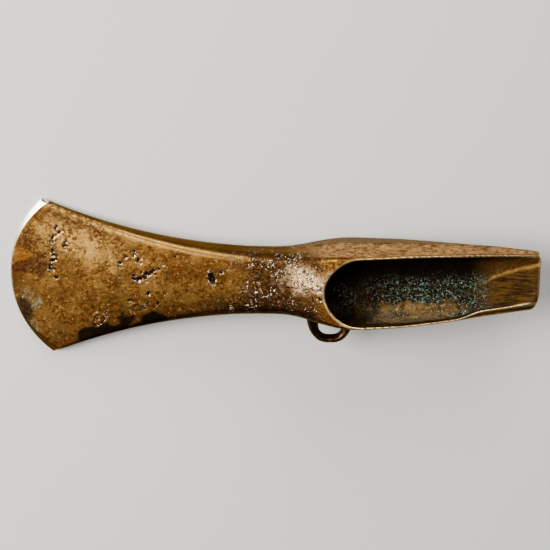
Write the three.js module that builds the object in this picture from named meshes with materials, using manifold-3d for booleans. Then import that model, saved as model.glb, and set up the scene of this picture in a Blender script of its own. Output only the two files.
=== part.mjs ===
// A Bronze Age palstave: a looped bronze axe head, cast in one piece in a two-part mould.
//
// The wedge-shaped blade flares to a crescent cutting edge. Behind the waist the casting swells
// into four flanges round a thin web, so that each broad face has a deep haft bed, rounded at its
// stop and open at the butt. A forked wooden haft slid onto the web, and its lashing ran through
// the small loop on one side. A low casting seam runs along the middle of both sides.
//
// The axe is drawn in its own frame, in millimetres: x from the cutting edge to the butt, y across
// the blade and z through its thickness, with the web's middle at z = 0. At the end it is laid on
// its back, touching the ground at its cutting edge and its two rear flanges, with +Z up.

import * as THREE from "three";
import { mergeVertices } from "three/addons/utils/BufferGeometryUtils.js";
import Module from "manifold-3d";

// ---- Driving dimensions ---------------------------------------------------------------------

const LENGTH = 165;

// The cutting edge is an arc that cuts off the flared sides, a little askew from resharpening. Its
// ground bevels are widest at the two corners, where the wedge is thicker.
const EDGE = { radius: 32, centreY: 1.9, upperY: 25.1, lowerY: 23.8 };
const BEVEL = { halfThickness: 0.25, slope: 0.6 }; // on the edge itself, and how it grows behind it
const EDGE_REACH = 45; // how far back the blade's loft stations still bend like the cutting edge

const WAIST = { x: 85, halfWidth: 9.5, halfThickness: 8.5 };
const FLARE = { reach: 73.3, growth: 14.9, power: 2.1 }; // how the blade widens away from the waist

const STOP = { x: 97.7, roundEnd: 11.5 }; // rim of the haft bed, and the length of its round end
const SWELL_FROM = 82; // where the faces begin to rise towards the stop
const FLANGE = { peakX: 108, halfWidth: 11.3, halfThickness: 14.8, narrowFromX: 122, fall: 1.2 };
const BUTT = { halfWidth: 8.7, halfThickness: 2.4 };
const CORNER = { upper: { x: 1.5, y: 1.7 }, lower: { x: 2.8, y: 5.2 } }; // worn corners of the butt
const BEND = { atFlange: -0.6, atButt: 1.3 }; // how far the casting strays sideways, to +y

const SEAM = { atEdge: 0.15, atWaist: 0.9, atFlange: 1.4 }; // how far the sides stand out at z = 0
const SEAM_FADE = 6; // half thickness below which the seam dies away towards the butt
const SEAM_LOWER = 0.45; // how much of the seam is left on the -y side, where it was dressed down
const FACE_CROWN = 0.1; // the share of its height that a blade face loses beside the arris
const SQUARENESS = { blade: 18, waist: 7, flange: 26 }; // power of the sections' rounded outline

const BED = {
  lip: 0.7, // thickness of a flange along its top
  run: 2.7, // how far the wall leans inwards down to the web
  webAtStop: 3.3, // half thickness of the web
  webAtButt: 1.7,
  leastDepth: 0.4, // of the bed where the flanges die out at the butt
  endPower: { upper: 1.15, lower: 0.92 }, // shapes the round end: an ellipse at 1, fuller below it
};
const BED_LEVELS = [0, 0.08, 0.2, 0.4, 0.65, 1, 1.5]; // the layers of a bed: web 0, rim 1
const OVERCUT = { beyond: 6, above: 3 }; // how far the sunk solid runs past the butt and the rim

const LOOP = { x: 99.9, span: 5.5, rise: 6.9, thickness: 2.6, depth: 4.6, rootFlare: 0.55 };
const LOOP_FULLNESS = 0.78; // makes the loop squarer than a half ellipse, for a roomy hole
const LOOP_ROOT = 0.32; // radians that each end of the loop runs on into the body

const RINGS = { blade: 24, shoulder: 15, haft: 18, loop: 16 }; // loft stations in each stretch
const STEPS = { face: 12, side: 8, bedEnd: 22, bedSide: 12, loop: 12 }; // points along each outline

// ---- Profiles -------------------------------------------------------------------------------

const lerp = THREE.MathUtils.lerp;
const smooth = (x, from, to) => THREE.MathUtils.smoothstep(x, from, to);

/** Half of the body's thickness at x: a straight wedge, the swelling stop, the falling flanges. */
function halfThickness(x) {
  const wedge = lerp(BEVEL.halfThickness, WAIST.halfThickness, x / WAIST.x);
  if (x <= FLANGE.peakX) {
    return lerp(wedge, FLANGE.halfThickness, smooth(x, SWELL_FROM, FLANGE.peakX));
  }
  const fall = ((x - FLANGE.peakX) / (LENGTH - FLANGE.peakX)) ** FLANGE.fall;
  return lerp(FLANGE.halfThickness, BUTT.halfThickness, fall);
}

/** Half of the body's width at x, at the arris between a face and a side. */
function halfWidth(x) {
  if (x < WAIST.x) {
    const away = (WAIST.x - x) / FLARE.reach;
    return WAIST.halfWidth + FLARE.growth * away ** FLARE.power;
  }
  const shoulder = smooth(x, WAIST.x, FLANGE.peakX - 2);
  const taper = Math.max(0, (x - FLANGE.narrowFromX) / (LENGTH - FLANGE.narrowFromX));
  return lerp(WAIST.halfWidth, FLANGE.halfWidth, shoulder)
    - (FLANGE.halfWidth - BUTT.halfWidth) * taper ** FLANGE.fall;
}

/** How much a rounded corner of the butt takes off the half width at x. */
function cornerLoss(x, corner) {
  const into = Math.max(0, (x - (LENGTH - corner.x)) / corner.x);
  return corner.y * (1 - Math.sqrt(Math.max(0, 1 - into * into)));
}

/** Middle of the width at x: straight in the blade, then bending a little to -y and back. */
function centreLine(x) {
  return BEND.atFlange * smooth(x, WAIST.x, FLANGE.peakX)
    + BEND.atButt * smooth(x, FLANGE.peakX, LENGTH);
}

/** How far the side stands out at the casting seam, beyond the arris. */
function seamRise(x) {
  if (x < WAIST.x) return lerp(SEAM.atEdge, SEAM.atWaist, x / WAIST.x);
  const swell = lerp(SEAM.atWaist, SEAM.atFlange, smooth(x, WAIST.x, FLANGE.peakX));
  return swell * Math.min(1, halfThickness(x) / SEAM_FADE);
}

/** Half thickness of the web between the two haft beds, straight from stop to butt. */
function webHalf(x) {
  return lerp(BED.webAtStop, BED.webAtButt, (x - STOP.x) / (LENGTH - STOP.x));
}

/** How square a ring's corners are: crisp on the blade, rounded at the waist, firm on the flanges. */
function squareness(x) {
  return x < WAIST.x
    ? lerp(SQUARENESS.blade, SQUARENESS.waist, smooth(x, WAIST.x / 2, WAIST.x))
    : lerp(SQUARENESS.waist, SQUARENESS.flange, smooth(x, WAIST.x, FLANGE.peakX));
}

// ---- Lofts ----------------------------------------------------------------------------------

/** A closed solid through rings of equal length, with a flat fan at each end. */
function loft(rings) {
  const count = rings[0].length;
  const positions = rings.flat().flatMap((p) => [p.x, p.y, p.z]);
  const middles = [rings[0], rings[rings.length - 1]].map((ring) =>
    ring.reduce((sum, p) => sum.add(p), new THREE.Vector3()).divideScalar(count));
  positions.push(...middles.flatMap((m) => [m.x, m.y, m.z]));
  const first = rings.length * count;
  const faces = [];
  for (let i = 0; i < count; i++) {
    const j = (i + 1) % count;
    for (let r = 0; r + 1 < rings.length; r++) {
      const [a, b] = [r * count + i, r * count + j];
      faces.push(a, b, b + count, a, b + count, a + count);
    }
    const end = (rings.length - 1) * count;
    faces.push(first, j, i, first + 1, end + i, end + j);
  }
  return new THREE.BufferGeometry()
    .setAttribute("position", new THREE.Float32BufferAttribute(positions, 3))
    .setIndex(faces);
}

/** Stations from start to end, the end left out, spaced evenly or closing up towards the start. */
function stations(start, end, count, power = 1) {
  return Array.from({ length: count }, (_, i) => lerp(start, end, (i / count) ** power));
}

/** A point of the body's ring, on a rounded box: across and through run from -1 to 1. */
function ringPoint(station, across, through) {
  // The blade's stations bend like the cutting edge and straighten towards the waist.
  const bend = Math.max(0, 1 - station / EDGE_REACH) ** 2;
  const edgeY = across * (across > 0 ? EDGE.upperY : EDGE.lowerY);
  const arc = EDGE.radius - Math.sqrt(EDGE.radius ** 2 - (edgeY - EDGE.centreY) ** 2);
  const x = station + bend * arc;
  const corner = across > 0 ? CORNER.upper : CORNER.lower;
  const half = halfWidth(x) - cornerLoss(x, corner);
  const dressed = across > 0 ? 1 : SEAM_LOWER;
  const seam = dressed * seamRise(x) * (1 - Math.abs(through)) * Math.abs(across) ** 8;
  const crown = 1 - FACE_CROWN * across * across * (1 - smooth(x, WAIST.x, STOP.x));
  const ground = BEVEL.halfThickness + station * BEVEL.slope;
  return new THREE.Vector3(
    x,
    centreLine(x) + across * half + Math.sign(across) * seam,
    through * Math.min(halfThickness(x) * crown, ground),
  );
}

/** One ring of the body, counter-clockwise about +x. */
function bodyRing(station) {
  const ring = [];
  const power = squareness(station);
  const round = (a, b) => {
    // Pulls a point of the square outline in to the rounded outline |a|^n + |b|^n = 1.
    const size = (Math.abs(a) ** power + Math.abs(b) ** power) ** (1 / power);
    return [a / size, b / size];
  };
  const sides = [
    (s) => [1, s], // the +y side, going up
    (s) => [-s, 1], // the front face
    (s) => [-1, -s], // the -y side, going down
    (s) => [s, -1], // the back face
  ];
  sides.forEach((side, index) => {
    const steps = index % 2 ? STEPS.face : STEPS.side;
    for (let i = 0; i < steps; i++) {
      // A sine spacing puts more of the points near the corners.
      const s = Math.sin(((i / steps) * 2 - 1) * (Math.PI / 2));
      ring.push(ringPoint(station, ...round(...side(s))));
    }
  });
  return ring;
}

/** The whole casting before its haft beds are sunk and its loop is added. */
function bodyGeometry() {
  return loft([
    ...stations(0, WAIST.x, RINGS.blade, 1.25),
    ...stations(WAIST.x, FLANGE.peakX, RINGS.shoulder),
    ...stations(FLANGE.peakX, LENGTH, RINGS.haft, 0.8),
    LENGTH,
  ].map(bodyRing));
}

// ---- Haft beds ------------------------------------------------------------------------------

/** Outline of a haft bed at a level: 0 on the web, 1 at the rim and more above it. */
function bedLayer(level, face) {
  const past = LENGTH + OVERCUT.beyond;
  const inset = BED.run * Math.max(0, 1 - level) ** 2;
  const tip = STOP.x + inset;
  const centre = STOP.x + STOP.roundEnd;
  const half = (x) => halfWidth(Math.min(x, LENGTH)) - BED.lip - inset;
  const point = (x, side) => {
    const bed = webHalf(x);
    // Above the rim the layers rise straight, well clear of the flanges.
    const rim = halfThickness(Math.min(x, LENGTH));
    const top = Math.max(rim, bed + BED.leastDepth);
    const z = level > 1 ? FLANGE.halfThickness + OVERCUT.above : lerp(bed, top, level);
    return new THREE.Vector3(x, centreLine(x) + side * half(x), face * z);
  };
  const straight = stations(centre, past, STEPS.bedSide).slice(1).concat(past);
  const end = Array.from({ length: STEPS.bedEnd + 1 }, (_, i) => {
    const angle = (0.5 + i / STEPS.bedEnd) * Math.PI;
    const [c, s] = [Math.cos(angle), Math.sin(angle)];
    const power = s > 0 ? BED.endPower.upper : BED.endPower.lower;
    return point(centre + c * (centre - tip), Math.sign(s) * Math.abs(s) ** power);
  });
  return [
    ...straight.map((x) => point(x, 1)).reverse(),
    ...end,
    ...straight.map((x) => point(x, -1)),
  ];
}

/** The solid that is sunk into one face: +1 the front, -1 the back. */
function bedGeometry(face) {
  const layers = BED_LEVELS.map((level) => bedLayer(level, face));
  return loft(face > 0 ? layers : layers.reverse());
}

// ---- Loop -----------------------------------------------------------------------------------

/** The lashing loop: a rounded bow on the -y side, thickening into the body at its roots. */
function loopGeometry() {
  const rootY = centreLine(LOOP.x) - halfWidth(LOOP.x) - SEAM_LOWER * SEAM.atWaist;
  const fuller = (v) => Math.sign(v) * Math.abs(v) ** LOOP_FULLNESS;
  const rings = Array.from({ length: RINGS.loop + 1 }, (_, i) => {
    const angle = lerp(-LOOP_ROOT, Math.PI + LOOP_ROOT, i / RINGS.loop);
    const out = new THREE.Vector3(-Math.cos(angle), -Math.sin(angle), 0);
    const middle = new THREE.Vector3(
      LOOP.x + fuller(out.x) * LOOP.span,
      rootY + fuller(out.y) * LOOP.rise,
      0,
    );
    const flare = 1 + LOOP.rootFlare * (1 - Math.max(0, Math.sin(angle))) ** 2;
    return Array.from({ length: STEPS.loop }, (_, k) => {
      const turn = (k / STEPS.loop) * 2 * Math.PI;
      return middle.clone()
        .addScaledVector(out, (Math.cos(turn) * LOOP.thickness * flare) / 2)
        .add(new THREE.Vector3(0, 0, (-Math.sin(turn) * LOOP.depth * flare) / 2));
    });
  });
  return loft(rings);
}

// ---- Joining, and laying the axe down ---------------------------------------------------------

const wasm = await Module();
wasm.setup();

/** A closed geometry as a solid. */
function solid(geometry) {
  const merged = mergeVertices(geometry, 1e-4);
  const made = new wasm.Manifold(new wasm.Mesh({
    numProp: 3,
    vertProperties: merged.attributes.position.array,
    triVerts: new Uint32Array(merged.index.array),
  }));
  if (made.volume() <= 0) throw new Error("a loft is inside out");
  return made;
}

/** A solid's surface as a geometry. */
function surface(made) {
  const mesh = made.getMesh();
  return new THREE.BufferGeometry()
    .setAttribute("position", new THREE.BufferAttribute(mesh.vertProperties.slice(), 3))
    .setIndex(new THREE.BufferAttribute(mesh.triVerts.slice(), 1));
}

/** How far the axe's back turns up when it lies on its cutting edge and its rear flanges. */
function lyingAngle() {
  const places = stations(WAIST.x, LENGTH, 400);
  const slopes = places.map((x) => (halfThickness(x) - BEVEL.halfThickness) / x);
  return Math.atan(Math.max(...slopes));
}

const casting = solid(bodyGeometry())
  .add(solid(loopGeometry()))
  .subtract(solid(bedGeometry(1)))
  .subtract(solid(bedGeometry(-1)));

const geometry = surface(casting).rotateY(-lyingAngle());
geometry.computeBoundingBox();
const { min, max } = geometry.boundingBox;
geometry.translate(-(min.x + max.x) / 2, -(min.y + max.y) / 2, -min.z);

const bronze = new THREE.MeshStandardMaterial({ color: 0x9a6a32, roughness: 0.42, metalness: 1 });
const axeHead = new THREE.Mesh(geometry, bronze);
axeHead.name = "axe_head";

const palstave = new THREE.Group();
palstave.add(axeHead);

export default palstave;
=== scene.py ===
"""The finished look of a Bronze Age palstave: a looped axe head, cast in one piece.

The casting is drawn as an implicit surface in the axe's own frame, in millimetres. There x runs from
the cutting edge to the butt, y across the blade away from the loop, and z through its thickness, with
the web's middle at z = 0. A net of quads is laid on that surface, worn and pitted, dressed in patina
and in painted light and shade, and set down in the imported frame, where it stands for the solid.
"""

import logging
import math
from dataclasses import dataclass, field
from enum import Enum

import bpy
import numpy as np
from mathutils import Matrix, Vector


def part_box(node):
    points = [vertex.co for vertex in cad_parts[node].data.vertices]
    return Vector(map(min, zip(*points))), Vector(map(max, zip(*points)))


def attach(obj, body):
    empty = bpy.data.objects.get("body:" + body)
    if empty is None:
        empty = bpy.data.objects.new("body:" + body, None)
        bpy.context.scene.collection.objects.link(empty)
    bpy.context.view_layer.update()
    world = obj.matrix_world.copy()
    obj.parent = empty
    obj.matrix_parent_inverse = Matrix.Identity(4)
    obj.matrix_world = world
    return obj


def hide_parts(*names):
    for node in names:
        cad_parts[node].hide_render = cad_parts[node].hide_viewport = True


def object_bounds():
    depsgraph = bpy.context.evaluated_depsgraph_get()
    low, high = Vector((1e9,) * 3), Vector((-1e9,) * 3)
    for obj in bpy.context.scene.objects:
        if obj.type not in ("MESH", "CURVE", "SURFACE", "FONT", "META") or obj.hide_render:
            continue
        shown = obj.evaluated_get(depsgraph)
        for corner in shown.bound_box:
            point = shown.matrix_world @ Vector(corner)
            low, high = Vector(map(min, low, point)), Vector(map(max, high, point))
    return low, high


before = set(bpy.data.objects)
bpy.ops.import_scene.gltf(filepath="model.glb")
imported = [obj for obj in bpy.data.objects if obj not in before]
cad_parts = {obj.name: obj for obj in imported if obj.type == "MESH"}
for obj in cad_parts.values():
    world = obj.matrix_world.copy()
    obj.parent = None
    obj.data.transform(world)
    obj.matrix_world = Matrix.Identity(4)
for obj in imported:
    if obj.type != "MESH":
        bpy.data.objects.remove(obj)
CAD_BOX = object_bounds()

NODE = "axe_head"
BODY = "root"
MM = 0.001
TINY = 1e-9  # keeps a division by a length from failing

Array = np.ndarray
Pair = tuple[float, float]
Triple = tuple[float, float, float]
Colour = Triple
Coat = tuple[str, object, Colour, float, float]  # share, pattern, tint, roughness and strength

log = logging.getLogger("palstave")


# ---- Small curves ---------------------------------------------------------------------------


def blend(a: float | Array, b: float | Array, share: float | Array) -> float | Array:
    """Runs from a to b as the share goes from 0 to 1."""
    return a + (b - a) * share


def ease(value: float | Array, start: float, end: float) -> Array:
    """Rises smoothly from 0 at start to 1 at end."""
    share = np.clip((value - start) / (end - start), 0.0, 1.0)
    return share * share * (3.0 - 2.0 * share)


def bump_at(value: float | Array, middle: float, reach: float) -> Array:
    """A smooth hill of height 1 at the middle, down to 0 at the reach on either side."""
    return 1.0 - ease(np.abs(value - middle), 0.0, reach)


def soft_max(a: Array, b: Array, radius: float) -> Array:
    """The greater of two distances, with the crease between them rounded to a radius."""
    overlap = np.maximum(radius - np.abs(a - b), 0.0) / radius
    return np.maximum(a, b) + overlap * overlap * radius * 0.25


def soft_min(a: Array, b: Array, radius: float) -> Array:
    """The lesser of two distances, with the crease between them filled to a radius."""
    return -soft_max(-a, -b, radius)


# ---- Grain: seeded noise ----------------------------------------------------------------------


@dataclass(frozen=True)
class Grain:
    """Repeatable noise over points in millimetres.

    Attributes:
        seed: Picks one pattern among many; the same seed always gives the same pattern.
    """

    seed: int

    def _scatter(self, cell: Array, salt: int) -> Array:
        """A number from 0 to 1 for each whole-numbered cell.

        Args:
            cell: Cells, as an array whose last axis is x, y, z.
            salt: Picks one of many numbers for the same cell.

        Returns:
            The numbers.
        """
        mixed = (cell[..., 0] * 73856093) ^ (cell[..., 1] * 19349663) ^ (cell[..., 2] * 83492791)
        mixed = mixed ^ ((self.seed * 7919 + salt) * 2654435761)
        mixed = ((mixed ^ (mixed >> 13)) * 1274126177) & 0x7FFFFFFF
        mixed = ((mixed ^ (mixed >> 15)) * 668265263) & 0x7FFFFFFF
        return ((mixed ^ (mixed >> 13)) & 0xFFFFFF) / float(0xFFFFFF)

    def swell(self, points: Array, size: float | Triple) -> Array:
        """Smooth noise from -1 to 1 whose features are about size across.

        Args:
            points: Places, as an array whose last axis is x, y, z.
            size: Feature size, one for all directions or one for each.

        Returns:
            The noise at each place.
        """
        scaled = points / np.asarray(size, float)
        low = np.floor(scaled).astype(np.int64)
        part = scaled - low
        part = part * part * (3.0 - 2.0 * part)
        total = np.zeros(points.shape[:-1])
        for corner in np.ndindex(2, 2, 2):
            weight = np.prod(np.where(corner, part, 1.0 - part), axis=-1)
            total += weight * self._scatter(low + np.array(corner), 0)
        return total * 2.0 - 1.0

    def fractal(self, points: Array, size: float | Triple, octaves: int) -> Array:
        """Noise with finer and finer octaves, each half as strong as the one before.

        Args:
            points: Places, as an array whose last axis is x, y, z.
            size: Feature size of the coarsest octave.
            octaves: How many octaves are summed.

        Returns:
            The noise at each place, mostly between -1 and 1.
        """
        size = np.asarray(size, float)
        layers = (Grain(self.seed + k).swell(points, size / 2**k) / 2**k for k in range(octaves))
        return sum(layers) / (2.0 - 0.5 ** (octaves - 1))

    def pocks(self, points: Array, size: float, share: float) -> Array:
        """Round pocks on a jittered lattice: 1 at the middle of a pock, 0 on its rim and beyond.

        Args:
            points: Places, as an array whose last axis is x, y, z.
            size: Spacing of the pocks.
            share: The share of the lattice's places that hold a pock.

        Returns:
            How deep in a pock each place is.
        """
        scaled = points / size
        low = np.floor(scaled).astype(np.int64)
        depth = np.zeros(points.shape[:-1])
        for step in np.ndindex(3, 3, 3):
            cell = low + np.array(step) - 1
            jitter = np.stack([self._scatter(cell, k) for k in (1, 2, 3)], axis=-1) - 0.5
            middle = cell + 0.5 + 0.6 * jitter
            radius = 0.22 + 0.33 * self._scatter(cell, 4)
            near = np.linalg.norm(scaled - middle, axis=-1) / radius
            there = self._scatter(cell, 5) < share
            depth = np.maximum(depth, np.where(there, np.clip(1.0 - near * near, 0.0, 1.0), 0.0))
        return depth


# ---- The casting's shape ------------------------------------------------------------------------


@dataclass(frozen=True)
class Profile:
    """Length, width and thickness of the casting along its axis, in millimetres."""

    length: float = 165.0
    waist_x: float = 85.0
    waist_width: float = 9.5  # half sizes, as are all widths and thicknesses here
    waist_thickness: float = 8.5
    edge_thickness: float = 0.25
    flare_reach: float = 73.3
    flare_growth: float = 14.9
    flare_power: float = 2.1
    swell_from: float = 82.0
    peak_x: float = 108.0
    peak_width: float = 11.3
    peak_thickness: float = 14.8
    narrow_from: float = 122.0
    fall: float = 1.2
    butt_width: float = 8.7
    butt_thickness: float = 2.4
    bend_at_flange: float = -0.6
    bend_at_butt: float = 1.3
    shoulder_run: float = 2.0  # the full width is reached this far before the peak
    crown: float = 0.1

    def centre(self, x: Array) -> Array:
        """Middle of the width at x."""
        to_flange = self.bend_at_flange * ease(x, self.waist_x, self.peak_x)
        return to_flange + self.bend_at_butt * ease(x, self.peak_x, self.length)

    def half_width(self, x: Array) -> Array:
        """Half of the width, at the arris between a face and a side.

        Args:
            x: Places along the axis.

        Returns:
            The half width at each.
        """
        away = np.maximum(self.waist_x - x, 0.0) / self.flare_reach
        flare = self.flare_growth * away**self.flare_power
        full_x = self.peak_x - self.shoulder_run
        shoulder = (self.peak_width - self.waist_width) * ease(x, self.waist_x, full_x)
        taper = np.maximum(x - self.narrow_from, 0.0) / (self.length - self.narrow_from)
        return self.waist_width + flare + shoulder - (self.peak_width - self.butt_width) * taper**self.fall

    def half_thickness(self, x: Array) -> Array:
        """Half of the thickness: a wedge, the swelling stop, and the falling flanges.

        Args:
            x: Places along the axis.

        Returns:
            The half thickness at each.
        """
        wedge = blend(self.edge_thickness, self.waist_thickness, x / self.waist_x)
        rise = blend(wedge, self.peak_thickness, ease(x, self.swell_from, self.peak_x))
        past = np.clip((x - self.peak_x) / (self.length - self.peak_x), 0.0, 1.1) ** self.fall
        return np.where(x <= self.peak_x, rise, blend(self.peak_thickness, self.butt_thickness, past))

    def lying_angle(self) -> float:
        """How far the back turns up when the head lies on its edge and its rear flanges."""
        x = np.linspace(self.waist_x, self.length, 401)
        return math.atan(float(np.max((self.half_thickness(x) - self.edge_thickness) / x)))


@dataclass(frozen=True)
class Edge:
    """The ground cutting edge: an arc that cuts off the flared sides, with a narrow bevel."""

    radius: float = 32.0
    centre_y: float = 1.9
    sharpness: float = 0.16  # half thickness left on the very edge
    bevel_slope: float = 0.60

    def inland(self, x: Array, y: Array) -> Array:
        """How far a place lies behind the edge, across the arc."""
        reach = np.hypot(np.minimum(x, self.radius) - self.radius, y - self.centre_y)
        return np.where(x < self.radius, self.radius - reach, x)

    def cap(self, inland: Array) -> Array:
        """Greatest half thickness that the bevels leave at that distance."""
        return self.sharpness + self.bevel_slope * np.maximum(inland, 0.0)


@dataclass(frozen=True)
class Seam:
    """The ridge down each narrow side where the two halves of the mould met."""

    at_edge: float = 0.15
    at_waist: float = 0.9
    at_flange: float = 1.4
    fade_thickness: float = 6.0
    dressed: float = 0.45

    def rise(self, profile: Profile, x: Array, y: Array) -> Array:
        """How far the side stands out at mid thickness, beyond the arris.

        Args:
            profile: The casting's profile.
            x: Places along the axis.
            y: Places across it.

        Returns:
            The rise at each.
        """
        blade = blend(self.at_edge, self.at_waist, np.clip(x / profile.waist_x, 0.0, 1.0))
        haft = (self.at_flange - self.at_waist) * ease(x, profile.waist_x, profile.peak_x)
        fade = np.minimum(1.0, profile.half_thickness(x) / self.fade_thickness)
        whole = (blade + haft) * np.where(x < profile.waist_x, 1.0, fade)
        return whole * np.where(y > 0.0, 1.0, self.dressed)


@dataclass(frozen=True)
class Bed:
    """A haft bed: the floor on the web, its leaning walls and its round end at the stop."""

    lip: float = 0.62
    run: float = 2.7
    web_at_stop: float = 3.3
    web_at_butt: float = 1.7
    stop_x: float = 97.7
    round_end: float = 11.5
    upper_power: float = 1.15
    lower_power: float = 0.92
    fillet: float = 1.0
    worn_from: float = 138.0  # beyond it the flange on the loop's side is rounded over
    worn_run: float = 9.0
    worn_lip: float = 1.7

    def worn(self, x: Array, y: Array) -> Array:
        """How fully the flange is worn at each place."""
        return ease(x, self.worn_from, self.worn_from + self.worn_run) * (y < 0.0)

    def web(self, profile: Profile, x: Array) -> Array:
        """Half thickness of the web at x."""
        along = (x - self.stop_x) / (profile.length - self.stop_x)
        return blend(self.web_at_stop, self.web_at_butt, along)

    def inset(self, profile: Profile, x: Array, y: Array) -> Array:
        """How far inside the bed's rim each place lies, seen square on.

        Args:
            profile: The casting's profile.
            x: Places along the axis.
            y: Places across it, from the centre line.

        Returns:
            Distances, negative outside the rim.
        """
        half = np.maximum(profile.half_width(x) - self.lip - self.worn_lip * self.worn(x, y), 1.0)
        power = 2.0 / np.where(y > 0.0, self.upper_power, self.lower_power)
        along = np.maximum(self.stop_x + self.round_end - x, 0.0) / self.round_end
        across = np.maximum(np.abs(y) / half, 1e-3)
        value = along**2 + across**power
        slope = np.hypot(2.0 * along / self.round_end, power * across ** (power - 1.0) / half)
        return (1.0 - value) / np.maximum(slope, 0.1)

    def hollow(self, profile: Profile, x: Array, y: Array, z: Array, floor: Array) -> Array:
        """Distance into the hollow of one bed, for z measured outwards from the web's middle.

        Args:
            profile: The casting's profile.
            x: Places along the axis.
            y: Places across it, from the centre line.
            z: Heights above the web's middle.
            floor: Height of the bed's floor.

        Returns:
            Positive distances in the hollow and negative ones in the bronze.
        """
        depth = np.maximum(profile.half_thickness(x) - floor, 0.4)
        below = np.clip(1.0 - (z - floor) / depth, 0.0, 1.0)
        wall = self.inset(profile, x, y) - self.run * below**2
        return soft_min(wall, z - floor, self.fillet)


@dataclass(frozen=True)
class Plateau:
    """The hammered flat on the front web at the butt, bounded by a torn ridge."""

    start_x: float = 148.0
    ramp: float = 4.0
    rise: float = 0.55
    ridge_start_y: float = -1.0
    ridge_span: float = 7.4
    ridge_power: float = 0.45

    def ridge_y(self, profile: Profile, x: Array) -> Array:
        """Where the torn ridge runs, across the bed."""
        along = np.clip((x - self.start_x) / (profile.length - self.start_x), 0.0, 1.0)
        return self.ridge_start_y + self.ridge_span * along**self.ridge_power

    def share(self, profile: Profile, x: Array, y: Array, ragged: Array) -> Array:
        """How fully a place is on the flat, from 0 to 1."""
        inside = ease(self.ridge_y(profile, x) + 0.5 * ragged - y, -0.15, 0.3)
        return inside * ease(x + 0.8 * ragged, self.start_x - 1.0, self.start_x + self.ramp)


@dataclass(frozen=True)
class Loop:
    """The lashing loop on the -y side: a rounded bow that thickens into the body at its roots."""

    x: float = 99.9
    span: float = 5.5
    rise: float = 6.9
    thickness: float = 2.6
    depth: float = 4.6
    root_flare: float = 0.55
    fullness: float = 0.78
    root_fillet: float = 1.1

    def distance(self, root_y: float, x: Array, y: Array, z: Array) -> Array:
        """Distance from the loop's surface.

        Args:
            root_y: Where the side is that the loop springs from.
            x: Places along the axis.
            y: Places across it.
            z: Places through the thickness.

        Returns:
            Distances, negative inside the loop.
        """
        power = 2.0 / self.fullness
        across = np.maximum(np.abs(x - self.x) / self.span, 1e-3)
        out = np.maximum((root_y - y) / self.rise, 1e-3)
        value = (across**power + out**power) ** (1.0 / power)
        slope = value ** (1.0 - power) * np.hypot(
            across ** (power - 1.0) / self.span, out ** (power - 1.0) / self.rise)
        off_line = (value - 1.0) / np.maximum(slope, 0.05)
        sine = np.clip(out, 0.0, 1.0) ** (1.0 / self.fullness)
        flare = 0.5 * (1.0 + self.root_flare * (1.0 - sine) ** 2)
        ellipse = np.hypot(off_line / (self.thickness * flare), z / (self.depth * flare))
        hidden = np.maximum(y - root_y - 1.5, 0.0)
        return (ellipse - 1.0) * self.thickness * flare + hidden


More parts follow.
